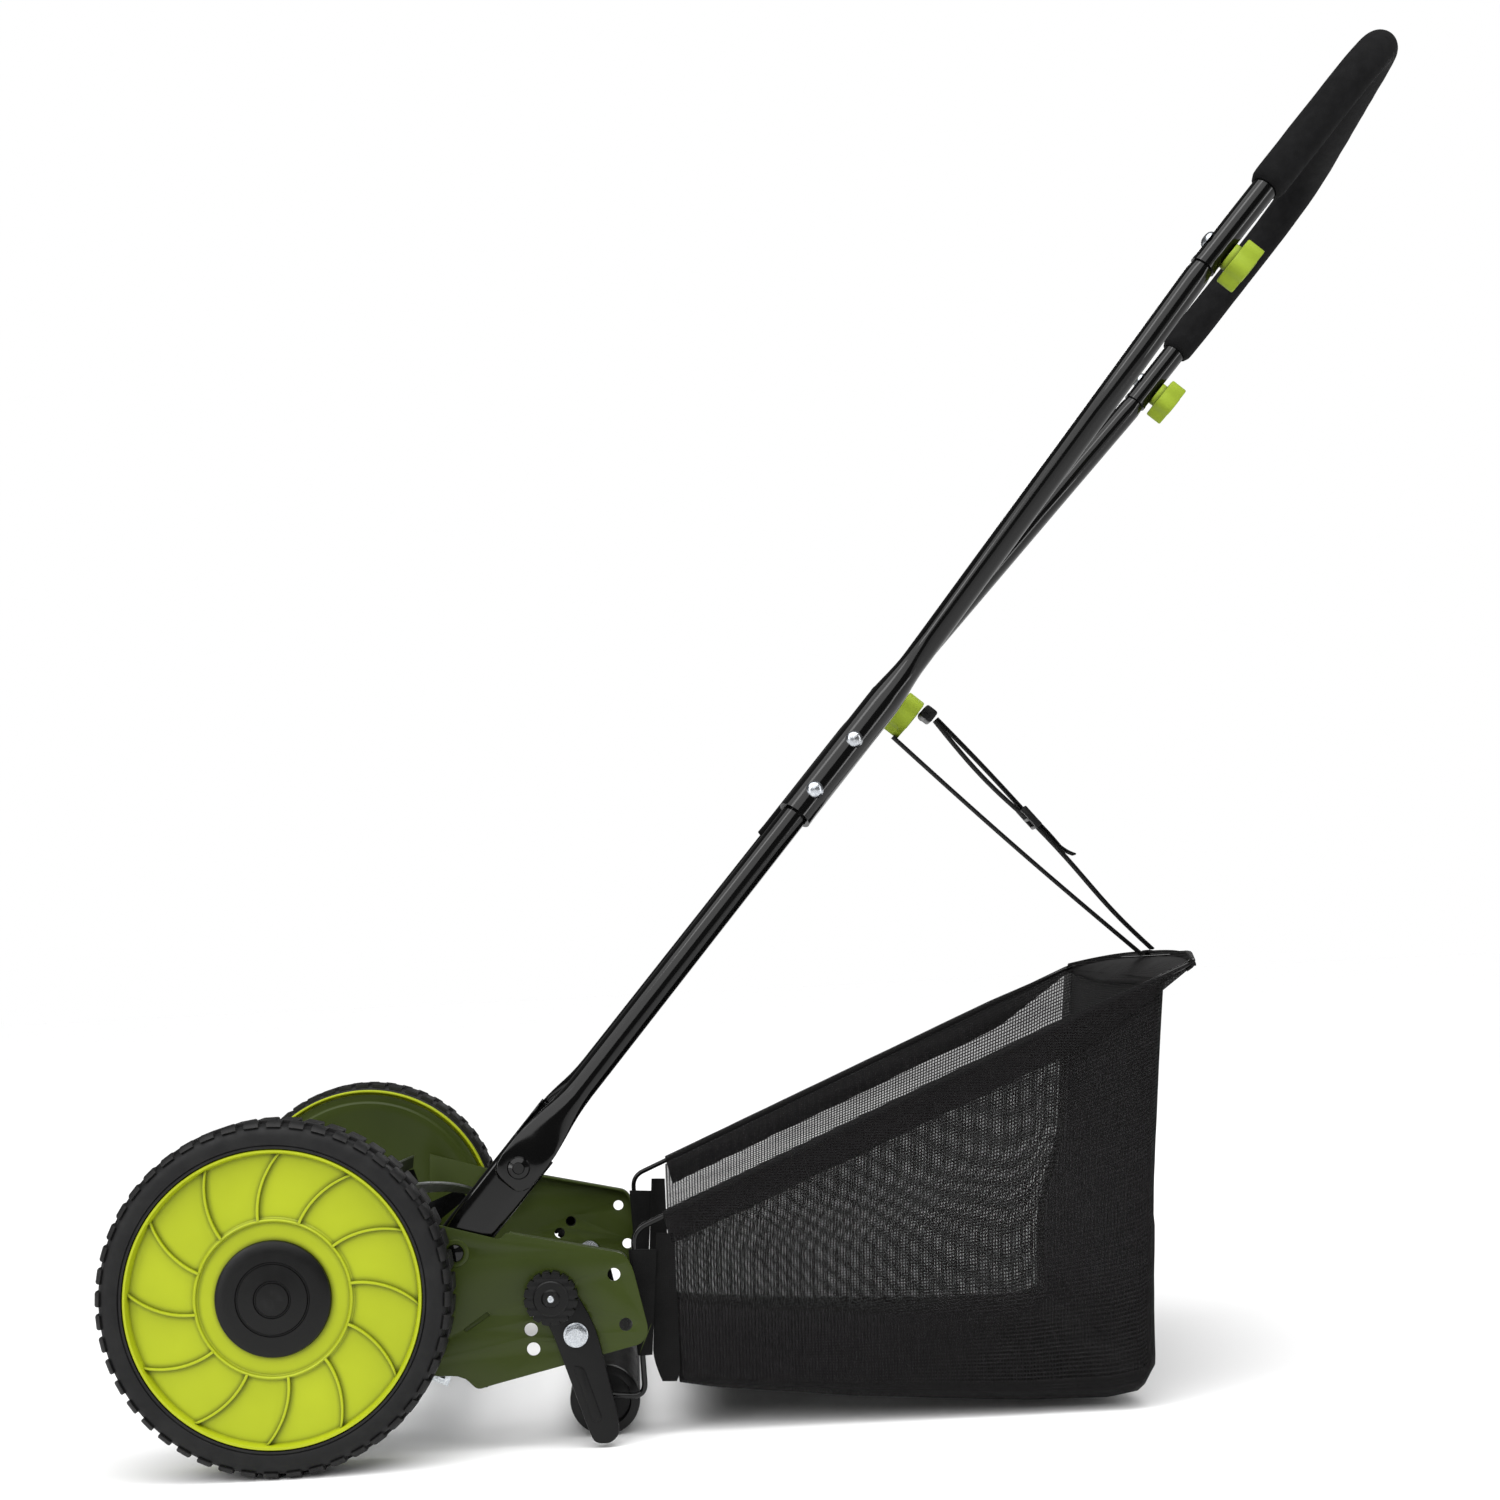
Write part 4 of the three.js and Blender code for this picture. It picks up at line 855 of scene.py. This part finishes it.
def bolt_mesh(origin, direction, shank):
    """A round-headed bolt: the head lies before the origin, the shank after it."""
    head = lathe([(0.01, -4.2), (2.6, -4), (4.8, -3.2), (6.3, -1.9), (7.1, -0.3), (6.9, 0), (3.1, 0.1),
                  (3.1, shank), (0.01, shank)], segments=40)
    return aimed(head, origin, direction)


def make_brace():
    """The cross tube at the waist, with ends pressed flat against the legs."""
    reach = leg_half(BRACE) - 9
    shape = ((0, 5, 11), (4, 6, 10.6), (12, 8, 9.6), (20, 9, 9))
    path, sizes = [], []
    for side, end in ((-1, shape), (1, shape[::-1])):
        for inset, deep, tall in end:
            path.append(handle_point(BRACE, side * (reach - inset)))
            sizes.append((tall, deep))
    piece("handle_brace_tube", sweep(path, sizes, UNDERSIDE, 36), "handle", BLACK_PAINT,
          ["handle_brace"], smooth_angle=60)


def make_fasteners():
    for side, name in SIDES:
        outboard = Vector((0, -side, 0))
        for along, place in zip(CARRIAGE_BOLTS, ("lower", "upper")):
            centre = leg_point(along, side)
            head = centre + Vector((0, side * (SLEEVE - 0.6), 0))
            bolt = bolt_mesh(head, outboard, 2 * SLEEVE + 4)
            nut = aimed(lathe([(3.3, 0), (6.2, 0), (6.4, 0.6), (6.4, 4), (6, 4.6), (3.3, 4.6)], segments=6),
                        centre - Vector((0, side * (SLEEVE - 0.4), 0)), outboard)
            piece(f"carriage_bolt_{place}_{name}_head", merged(bolt, nut), "handle", ZINC,
                  [f"carriage_bolt_{place}_{name}"])
        top = leg_point(UPPER_BOLT, side, -TUBE + 0.3)
        piece(f"upper_bolt_{name}_head", bolt_mesh(top, UNDERSIDE, 2 * TUBE + 12), "handle", ZINC,
              [f"upper_bolt_{name}"])
        knob = knob_mesh(leg_point(UPPER_BOLT, side, TUBE - 0.2), UNDERSIDE)
        piece(f"upper_knob_{name}_body", knob, f"upper_knob_{name}", LIME_DULL,
              [f"upper_knob_{name}"])
    knob = knob_mesh(handle_point(BRACE, 0, KNOB_BELOW), UNDERSIDE)
    stud = bolt_mesh(handle_point(BRACE, 0, -9.4), UNDERSIDE, 24)
    piece("waist_knob_body", knob, "waist_knob", LIME_DULL, ["waist_knob"])
    piece("waist_knob_stud", stud, "waist_knob", ZINC)


# ------------------------------------------------------------------ roller and height adjustment
def make_roller():
    x, z, radius = ROLLER
    profile = [(5.2, -199), (19, -199), (20, -205), (24.6, -205), (radius - 0.6, -204)]
    for i in range(ROLLER_RIDGES):
        y = -202 + 404 * i / ROLLER_RIDGES
        profile.extend([(radius, y), (radius, y + 1.9), (radius - 1.1, y + 2.5), (radius - 1.1, y + 3.4)])
    profile.extend([(radius - 0.6, 204), (24.6, 205), (20, 205), (19, 199), (5.2, 199)])
    piece("roller_ridged", lathe(profile, 1, x, z, 64), "roller", BLACK_PLASTIC, ["roller"])


def make_arm(side, name):
    outline = rounded([
        (183, -3, 8), (194, 9, 8), (212, 4, 9), (230.5, -27, 14), (247.5, -94, 6), (248.5, -107, 4),
        (242, -113.5, 4), (230, -113.5, 5), (225, -102, 6), (199.5, -34, 12),
    ])
    plate = slab(outline, ARM_INNER, ARM_OUTER, side, bevel=0.9)
    rib = slab(rounded([(214, -56, 3), (222, -58, 3), (236, -96, 4), (229, -98, 3)]), ARM_OUTER - 1,
               ARM_OUTER + 0.9, side, bevel=0.5)
    piece(f"roller_arm_{name}_moulding", merged(plate, rib), "height_arms", BLACK_PLASTIC,
          [f"roller_arm_{name}"])
    seat = ARM_OUTER + 0.3
    washer = lathe([(4, seat), (9.2, seat), (9.4, seat + 0.5), (9.1, seat + 1.5), (4, seat + 1.5)], side,
                   *ARM_PIVOT, segments=48)
    hexagon = [Vector((ARM_PIVOT[0] + 8.4 * math.cos(math.radians(60 * i + 20)),
                       ARM_PIVOT[1] + 8.4 * math.sin(math.radians(60 * i + 20)))) for i in range(6)]
    head = slab(hexagon, seat + 1.4, seat + 6.2, side, bevel=0.35)
    crown = lathe([(0.01, seat + 5.8), (5.4, seat + 5.9), (5.2, seat + 6.5), (0.01, seat + 6.6)], side,
                  *ARM_PIVOT, segments=40)
    shank = lathe([(0.01, PLATE_INNER - 4), (9.6, PLATE_INNER - 3.8), (9.6, PLATE_INNER - 0.3),
                   (5.9, PLATE_INNER - 0.3), (5.9, seat + 2), (0.01, seat + 2)], side, *ARM_PIVOT,
                  segments=32)
    piece(f"arm_pivot_bolt_{name}_hex", merged(washer, head, crown, shank), "deck", ZINC,
          [f"arm_pivot_bolt_{name}"])


def make_height_knob(side, name):
    """A round knob with sixteen wide lobes and narrow notches between them."""
    lobes, steps = 16, 16
    outline = []
    for i in range(lobes * steps):
        turn = 2 * math.pi * i / (lobes * steps)
        share = abs((i / steps + 0.5) % 1 - 0.5)
        radius = 20 - 2.4 * max(0.0, 1 - share / 0.16)
        across, up = radius * math.cos(turn), radius * math.sin(turn)
        outline.append(Vector((HEIGHT_KNOB[0] + across, HEIGHT_KNOB[1] + up)))
    seat = ARM_OUTER + 0.3
    body = slab(outline, seat, seat + 10, side, bevel=0.5)
    boss = lathe([(2.6, seat + 9), (13.2, seat + 9.4), (13, seat + 10.8), (12.2, seat + 11.4),
                  (7, seat + 11.5), (5.8, seat + 12.8), (2.6, seat + 13)], side, *HEIGHT_KNOB, segments=64)
    piece(f"height_knob_{name}_body", merged(body, boss), f"height_knob_{name}",
          BLACK_PLASTIC, [f"height_knob_{name}"])
    end = lathe([(0.01, ARM_INNER), (3.9, ARM_INNER), (3.9, seat + 2), (2.6, seat + 4), (2.6, seat + 13.4),
                 (2.2, seat + 13.9), (0.01, seat + 14)], side, *HEIGHT_KNOB, segments=32)
    piece(f"height_knob_{name}_stud", end, f"height_knob_{name}", ZINC)


# ------------------------------------------------------------------ grass catcher
def rail_point(x, side, raised=0.0):
    """A point of the wire's sloping side rail."""
    share = (x - RIM_FRONT.x) / (RIM_REAR.x - RIM_FRONT.x)
    point = RIM_FRONT.lerp(RIM_REAR, share)
    return Vector((x, side * WIRE_HALF, point.z + raised))


def make_wire():
    """One bent wire: two hooks on the roller axle, two uprights, two side rails and the rear rim."""
    def side_run(side):
        out = side * WIRE_HALF
        return [Vector((231, out, -82)), Vector((268, out, -84)), Vector((258, out, 40)),
                Vector((684, out, 243)), Vector((704, 0.62 * out, 251))]

    path = bent(side_run(-1) + side_run(1)[::-1], 11, 8)
    curve = bpy.data.curves.new("wire", "CURVE")
    curve.dimensions = "3D"
    curve.bevel_depth = 2.25
    curve.bevel_resolution = 3
    curve.use_fill_caps = True
    spline = curve.splines.new("POLY")
    spline.points.add(len(path) - 1)
    for point, place in zip(spline.points, path):
        point.co = (*place, 1)
    piece("catcher_wire", mesh_from_curve(curve), "catcher", BLACK_PAINT, ["catcher_frame"],
          smooth_angle=70)


def between(points, x):
    """The height at x of a line through (x, z) points."""
    for (x0, z0), (x1, z1) in zip(points, points[1:]):
        if x <= x1:
            return z0 + (z1 - z0) * max(0.0, (x - x0) / (x1 - x0))
    return points[-1][1]


def side_point(s, v, side):
    """A point of a side panel: s runs from the front edge to the rear, v from the floor to the hem."""
    front_x = 294 - 5 * v
    if v < 0.4:
        rear_x = 656 - 1.2 * math.sin(math.pi * v / 0.4)
    else:
        rear_x = 655 + 9 * ((v - 0.4) / 0.6) ** 1.4
    if side > 0:
        rear_x += FAR_REAR_REACH * eased((v - 0.25) / 0.3)
    x = front_x + (rear_x - front_x) * s
    low = between(BAG_FLOOR, x)
    z = low + (rail_point(x, side).z - 3 - low) * v
    bow = 4.5 * math.sin(math.pi * v) ** 0.8 * math.sin(math.pi * s) ** 0.7
    fold = noise.noise(Vector((x / 38, side * 3.1, z / 75))) * 1.9
    pull = noise.noise(Vector(((x + z) / 19, side * 8.3, (z - x) / 130))) * 0.9
    loose = math.sin(math.pi * min(1.0, 0.12 + v * 0.95))
    out = BAG_HALF - 1.6 - bow + (fold + pull) * loose
    corner = max(0.0, 1 - (z - low) / 17)
    out -= 15 * (1 - math.sqrt(max(0.0, 1 - corner * corner)))
    if s > 0.965:
        out -= 6 * ((s - 0.965) / 0.035) ** 2
    return Vector((x, side * out, z))


def bag_section(s, steps_side=30, steps_floor=24):
    """One U-shaped section of the bag: near top edge, floor, far top edge. s runs front to rear."""
    heights = [1 - (i / steps_side) ** 0.85 for i in range(steps_side + 1)]
    row = [side_point(s, v, -1) for v in heights]
    near, far = row[-1].copy(), side_point(s, 0, 1)
    for j in range(1, steps_floor):
        share = j / steps_floor
        point = near.lerp(far, share)
        free = min(1.0, 12 * (1 - s))
        point.z -= free * 1.5 * math.sin(math.pi * share) ** 0.6
        point.z += free * noise.noise(Vector((point.x / 60, point.y / 60, 5)))
        row.append(point)
    row.extend(side_point(s, v, 1) for v in heights[::-1])
    return row


def bag_back(rear):
    """The rear panel between the two sides of the last section, with a slight bulge."""
    rows = []
    for i in range(31):
        near, far = rear[i], rear[-1 - i]
        height = 1 - i / 30
        row = []
        for j in range(33):
            share = j / 32
            point = near.lerp(far, share)
            bulge = math.sin(math.pi * share) ** 0.7 * math.sin(math.pi * height ** 0.7) ** 0.8
            point.x += (6 + 1.6 * noise.noise(Vector((9, point.y / 42, point.z / 60)))) * bulge
            row.append(point)
        rows.append(row)
    return uv_grid(rows)


def bag_lip():
    """The small panel from the top of the rear panel out to the bowed rim."""
    rows = []
    for i in range(13):
        share = i / 12
        row = []
        for j in range(41):
            across = 2 * j / 40 - 1
            reach = FAR_REAR_REACH * max(0.0, across)
            start = Vector((663.5 + reach, (BAG_HALF - 7) * across, rail_point(663 + reach, 1).z - 6))
            point = start.lerp(rim_point(across, -1.5), share)
            point.z += 3.4 * math.sin(math.pi * share) * (1 - across ** 4)
            point.z += 0.9 * noise.noise(Vector((point.x / 20, point.y / 33, 2))) * math.sin(math.pi * share)
            row.append(point)
        rows.append(row)
    return uv_grid(rows)


def make_bag():
    """The shell of side, floor and side, with a denser cloth low down and along its rear edge."""
    sections, band = 60, 28
    rows = [bag_section(i / sections) for i in range(sections + 1)]
    shell = uv_grid(rows)
    shell.materials.append(BAG_MESH)
    shell.materials.append(BAG_BAND)
    columns = len(rows[0]) - 1
    for polygon in shell.polygons:
        row, column = divmod(polygon.index, columns)
        dense = band <= column < columns - band or row == sections - 1
        polygon.material_index = int(dense)
    for name, mesh, material, stands_for in (
        ("catcher_bag_shell", shell, None, ["catcher_bag"]),
        ("catcher_bag_back", bag_back(rows[-1]), BAG_BAND, ()),
        ("catcher_bag_lip", bag_lip(), BAG_LIP, ()),
    ):
        piece(name, mesh, "catcher", material, stands_for, smooth_angle=80, thick=0.6)


def rim_point(across, raised=0.0):
    """A point of the bowed rear rim. across runs from -1 at the near corner to 1 at the far one."""
    bow = 1 - abs(across) ** 2.6
    x = RIM_REAR.x + (RIM_MIDDLE.x - RIM_REAR.x) * bow
    z = RIM_REAR.z + (RIM_MIDDLE.z - RIM_REAR.z) * bow
    return Vector((x, WIRE_HALF * across, z + raised))


def hem_band(centres, downs, tails, side, seed):
    """A doubled band over a wire: round at the wire, flat below it, with a slightly wavy edge."""
    section = ((-0.9, 1.0), (-1.1, 0.4), (-3.0, 0.13), (-3.7, -0.02), (-2.7, -0.12), (0, -0.17), (2.7, -0.12),
               (3.7, -0.02), (3.0, 0.13), (0.9, 0.4), (0.5, 1.0))
    vertices = []
    last = len(centres) - 1
    for i, (centre, down, tail) in enumerate(zip(centres, downs, tails)):
        tangent = (centres[min(i + 1, last)] - centres[max(i - 1, 0)]).normalized()
        out = tangent.cross(down).normalized() * side
        wave = 1 + 0.05 * noise.noise(centre / 21 + Vector((seed, 0, 0)))
        for offset, reach in section:
            inset = -2.2 if reach >= 0.4 else 0.0
            ripple = 0.7 * noise.noise(centre / 17 + Vector((seed, reach * 3, 1))) * max(0.0, reach)
            vertices.append(centre + out * (offset + inset + ripple) + down * reach * tail * wave)
    return box_uv(outward(mesh_of(vertices, skin(len(centres), len(section)))))


def make_hems():
    bands = []
    for side, _ in SIDES:
        start = 281 if side < 0 else 290
        steps = 70
        places = [start + (683 - start) * i / steps for i in range(steps + 1)]
        centres = [rail_point(x, side) for x in places]
        square = Vector((RIM_REAR.z - RIM_FRONT.z, 0, RIM_FRONT.x - RIM_REAR.x)).normalized()
        downs = [(square + Vector((0, 0, -0.6))).normalized()] * len(centres)
        tails = [23 - 20 * max(0.0, (x - 600) / 83) ** 1.2 for x in places]
        bands.append(hem_band(centres, downs, tails, side, 3 * side))
    piece("catcher_side_hems", merged(*bands), "catcher", BAG_BAND, smooth_angle=60)
    steps = 60
    centres = [rim_point(2 * i / steps - 1) for i in range(steps + 1)]
    downs = [Vector((-0.8, 0, -0.6)).normalized()] * len(centres)
    rear = hem_band(centres, downs, [8.0] * len(centres), 1, 11)
    piece("catcher_rim_hem", rear, "catcher", BAG_LIP, smooth_angle=60)
    strips = [mesh for side, _ in SIDES for mesh in (front_sleeve(side), front_binding(side))]
    piece("catcher_front_binding", merged(*strips), "catcher", BINDING, smooth_angle=60)


def front_wire_x(z):
    return 257.0 + 11.0 * (40 - z) / 124


def front_sleeve(side):
    """The solid strip wrapped round the upright front wire of the catcher."""
    steps, turns = 24, 12
    vertices = []
    for i in range(steps + 1):
        t = i / steps
        z = 26 - 79 * t
        section = []
        for j in range(turns):
            turn = math.pi * (j / (turns - 1)) + math.pi / 2
            section.append((front_wire_x(z) + 3.5 * math.cos(turn), 3.5 * math.sin(turn)))
        section += [(276 - 3 * t, -1.6), (276 - 3 * t, -0.2)]
        vertices.extend(Vector((x, side * (WIRE_HALF + y), z)) for x, y in section)
    return box_uv(outward(mesh_of(vertices, skin(steps + 1, turns + 2))))


def front_binding(side):
    """The dense strip sewn down the front edge of the mesh, wider at the bottom."""
    rows = []
    for i in range(41):
        t = i / 40
        z = 38 - 111 * t
        left = 276 - 3 * t + 8 * max(0.0, (t - 0.78) / 0.22) ** 1.6
        right = 289 + 5 * t - 3 * max(0.0, (t - 0.9) / 0.1) ** 2
        ripple = 0.5 * noise.noise(Vector((t * 9, side * 5, 0)))
        row = []
        for j in range(9):
            share = j / 8
            x = left + (right - left) * share
            puff = 1.1 * math.sin(math.pi * share) + ripple
            row.append(Vector((x, side * (BAG_HALF - 0.6 + puff), z)))
        rows.append(row)
    mesh = uv_grid(rows)
    work = bmesh.new()
    work.from_mesh(mesh)
    bmesh.ops.solidify(work, geom=work.faces[:], thickness=1.4)
    work.to_mesh(mesh)
    work.free()
    return mesh


def strap_ribbon(path):
    """Webbing along a path in the X-Z plane, with rounded edges and a UV map."""
    ring = [(-1, -0.55), (-0.94, -1), (0.94, -1), (1, -0.55), (1, 0.55), (0.94, 1), (-0.94, 1), (-1, 0.55)]
    across = Vector((0, 1, 0))
    last = len(path) - 1
    vertices = []
    for i, point in enumerate(path):
        tangent = (path[min(i + 1, last)] - path[max(i - 1, 0)]).normalized()
        deep = tangent.cross(across).normalized()
        for a, d in ring:
            vertices.append(point + across * a * (STRAP_WIDTH / 2) + deep * d * (STRAP_THICK / 2))
    return box_uv(outward(mesh_of(vertices, skin(len(path), len(ring)))))


def slack_line(start, end, dip, count=24, bend=0.0):
    """Points from start to end that hang a little below the straight line."""
    points = []
    for i in range(count + 1):
        t = i / count
        point = start.lerp(end, t)
        point.z -= dip * math.sin(math.pi * t)
        point.x += bend * math.sin(2 * math.pi * t)
        points.append(point)
    return points


def strap_point(along, below):
    """A point of the strap's own frame, measured up the handle and away from its underside."""
    return handle_point(STRAP_PIVOT[0] + along, 0, STRAP_PIVOT[1] + below)


def make_strap():
    front, rear = strap_point(-23, 2), strap_point(12, 22)
    rim = RIM_MIDDLE + Vector((0.5, 0, 2.6))
    buckle = rear.lerp(rim + Vector((2, 0, 2)), BUCKLE_FROM_HOOK / (rim - rear).length)
    direction = (rim - buckle).normalized()
    across = Vector((-direction.z, 0, direction.x))
    leg_one = slack_line(front, rim + Vector((-8, 0, -2)), 2.5)
    outer = slack_line(rear + across * 1.1, buckle + across * 1.2, -1.2, 14)
    inner = slack_line(rear - across * 1.1, buckle - across * 1.0, 5.0, 14)
    lower = slack_line(buckle, rim + Vector((2, 0, 2)), 1.8, 14, 1.6)
    over = [rim + Vector((-2 + 6.5 * math.sin(a), 0, -4.6 + 5 * math.cos(a))) for a in
            [math.radians(d) for d in range(-80, 241, 20)]]
    tail_start = buckle + across * 2.6
    tail = slack_line(tail_start, buckle + direction * 36 + across * 3.2, -1, 8)
    tail += slack_line(tail[-1], tail[-1] + Vector((13, 0, -7)), 0.8, 8)[1:]
    ribbons = [strap_ribbon(path) for path in (leg_one, outer, inner, lower, over, tail)]
    piece("bag_strap_webbing", merged(*ribbons), "strap", WEBBING, ["bag_strap"],
          smooth_angle=50)
    blocks = [(start - 1.8, start + 1.8, -2.6, 3.6, 1.2, -11.5, 11.5) for start in (-9, 0, 9)]
    blocks += [(-10.5, 10.5, -2.4, 3.4, 1.4, y - 1.7, y + 1.7) for y in (-10.6, 10.6)]
    bars = []
    for left, right, low, high, radius, inner_y, outer_y in blocks:
        corners = ((left, low), (right, low), (right, high), (left, high))
        outline = rounded([(*(buckle + direction * a + across * b).xz, radius) for a, b in corners])
        bars.append(slab(outline, inner_y, outer_y, 1, bevel=0.5))
    piece("strap_buckle_slider", merged(*bars), "strap", BLACK_PLASTIC, ["strap_buckle"])
    corners = ((5, 8), (17, 8), (17, 20), (5, 20))
    hook = slab(rounded([(*strap_point(*corner).xz, 3) for corner in corners]), -9.6, 9.6, 1, bevel=1.2)
    eye = lathe([(1.6, -10.4), (4.2, -10.4), (4.4, -9.4), (4.4, 9.4), (4.2, 10.4), (1.6, 10.4)], 1,
                *strap_point(9, 12).xz, 24)
    piece("strap_hook_body", merged(hook, eye), "strap_hook", BLACK_PLASTIC, ["strap_hook"])


# ------------------------------------------------------------------ studio
def make_studio():
    """A white floor under a soft overhead sun, with long softboxes that draw bands on the gloss paint."""
    bpy.ops.mesh.primitive_plane_add(size=120, location=(0, 0, -0.0005))
    floor = bpy.context.object
    floor.name = "studio_floor"
    floor.data.materials.append(pale_floor())
    world = bpy.data.worlds.new("studio")
    bpy.context.scene.world = world
    world.use_nodes = True
    tree = world.node_tree
    rays = tree.nodes.new("ShaderNodeLightPath")
    glossy, seen = tree.nodes.new("ShaderNodeMix"), tree.nodes.new("ShaderNodeMix")
    glossy.inputs["A"].default_value, glossy.inputs["B"].default_value = 0.32, 0.1
    seen.inputs["B"].default_value = 1.0
    tree.links.new(rays.outputs["Is Glossy Ray"], glossy.inputs["Factor"])
    tree.links.new(rays.outputs["Is Camera Ray"], seen.inputs["Factor"])
    tree.links.new(glossy.outputs["Result"], seen.inputs["A"])
    tree.links.new(seen.outputs["Result"], tree.nodes["Background"].inputs["Strength"])
    tree.nodes["Background"].inputs["Color"].default_value = (1, 1, 1, 1)
    sun = bpy.data.lights.new("sun", "SUN")
    sun.energy = 3.05
    sun.angle = math.radians(80)
    sun_holder = bpy.data.objects.new("sun", sun)
    sun_holder.rotation_euler = (math.radians(30), math.radians(-12), 0)
    bpy.context.scene.collection.objects.link(sun_holder)
    lamps = (
        ("left_strip", (-2.2, -2.0, 1.3), (0.45, 2.4), 20),
        ("right_strip", (2.4, -1.5, 1.2), (0.35, 2.2), 14),
        ("top_strip", (0.2, -0.9, 2.4), (2.6, 0.4), 16),
        ("rear_strip", (1.2, 2.4, 1.8), (2.0, 0.5), 12),
    )
    for name, place, (wide, tall), power in lamps:
        lamp = bpy.data.lights.new(name, "AREA")
        lamp.shape = "RECTANGLE"
        lamp.size = wide
        lamp.size_y = tall
        lamp.energy = power
        holder = bpy.data.objects.new(name, lamp)
        holder.location = place
        holder.rotation_euler = (Vector((0, 0, 0.4)) - Vector(place)).to_track_quat("-Z", "Y").to_euler()
        bpy.context.scene.collection.objects.link(holder)
    bpy.context.scene.view_settings.view_transform = "Standard"


def make_camera():
    """Nearly square to the left side, from a little behind the wheels."""
    camera = bpy.data.cameras.new("view")
    camera.lens = 49.41
    camera.shift_x = 0.056
    camera.shift_y = 0.108
    holder = bpy.data.objects.new("view", camera)
    bpy.context.scene.collection.objects.link(holder)
    place = Matrix.Translation(Vector((257.8, -1780.2, 226.7)))
    upright = Matrix.Rotation(math.pi / 2, 4, "X")
    turn = Matrix.Rotation(math.radians(2.182), 4, Vector((-1.976, 0.049, 0.924)).normalized())
    pose = MACHINE @ place @ turn.inverted() @ upright
    location, rotation, _ = pose.decompose()
    holder.location = location
    holder.rotation_euler = rotation.to_euler()
    bpy.context.scene.camera = holder


# ------------------------------------------------------------------ assembly
CAD_FINISHES = (
    (("reel_shaft", "reel_bearing", "drive_pinion", "bed_knife", "roller_axle"), STEEL),
    (("wheel_axle", "bed_knife_bar"), ZINC),
    (("tie_rod", "reel_spider"), BLACK_PAINT),
)


def finish_cad_nodes():
    """Better materials on the CAD nodes that stay. A later line of the table wins."""
    for prefixes, material in CAD_FINISHES:
        for name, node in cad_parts.items():
            if name.startswith(prefixes):
                node.data.materials.clear()
                node.data.materials.append(material)


make_camera()
make_studio()
for make_one in (make_wheel, make_tyre, make_plate, make_lower_tube, make_bracket, make_middle_tube, make_arm,
                 make_height_knob):
    for which_side, side_name in SIDES:
        make_one(which_side, side_name)
make_reel()
make_upper_handle()
make_brace()
make_fasteners()
make_roller()
make_wire()
make_bag()
make_hems()
make_strap()
finish_cad_nodes()
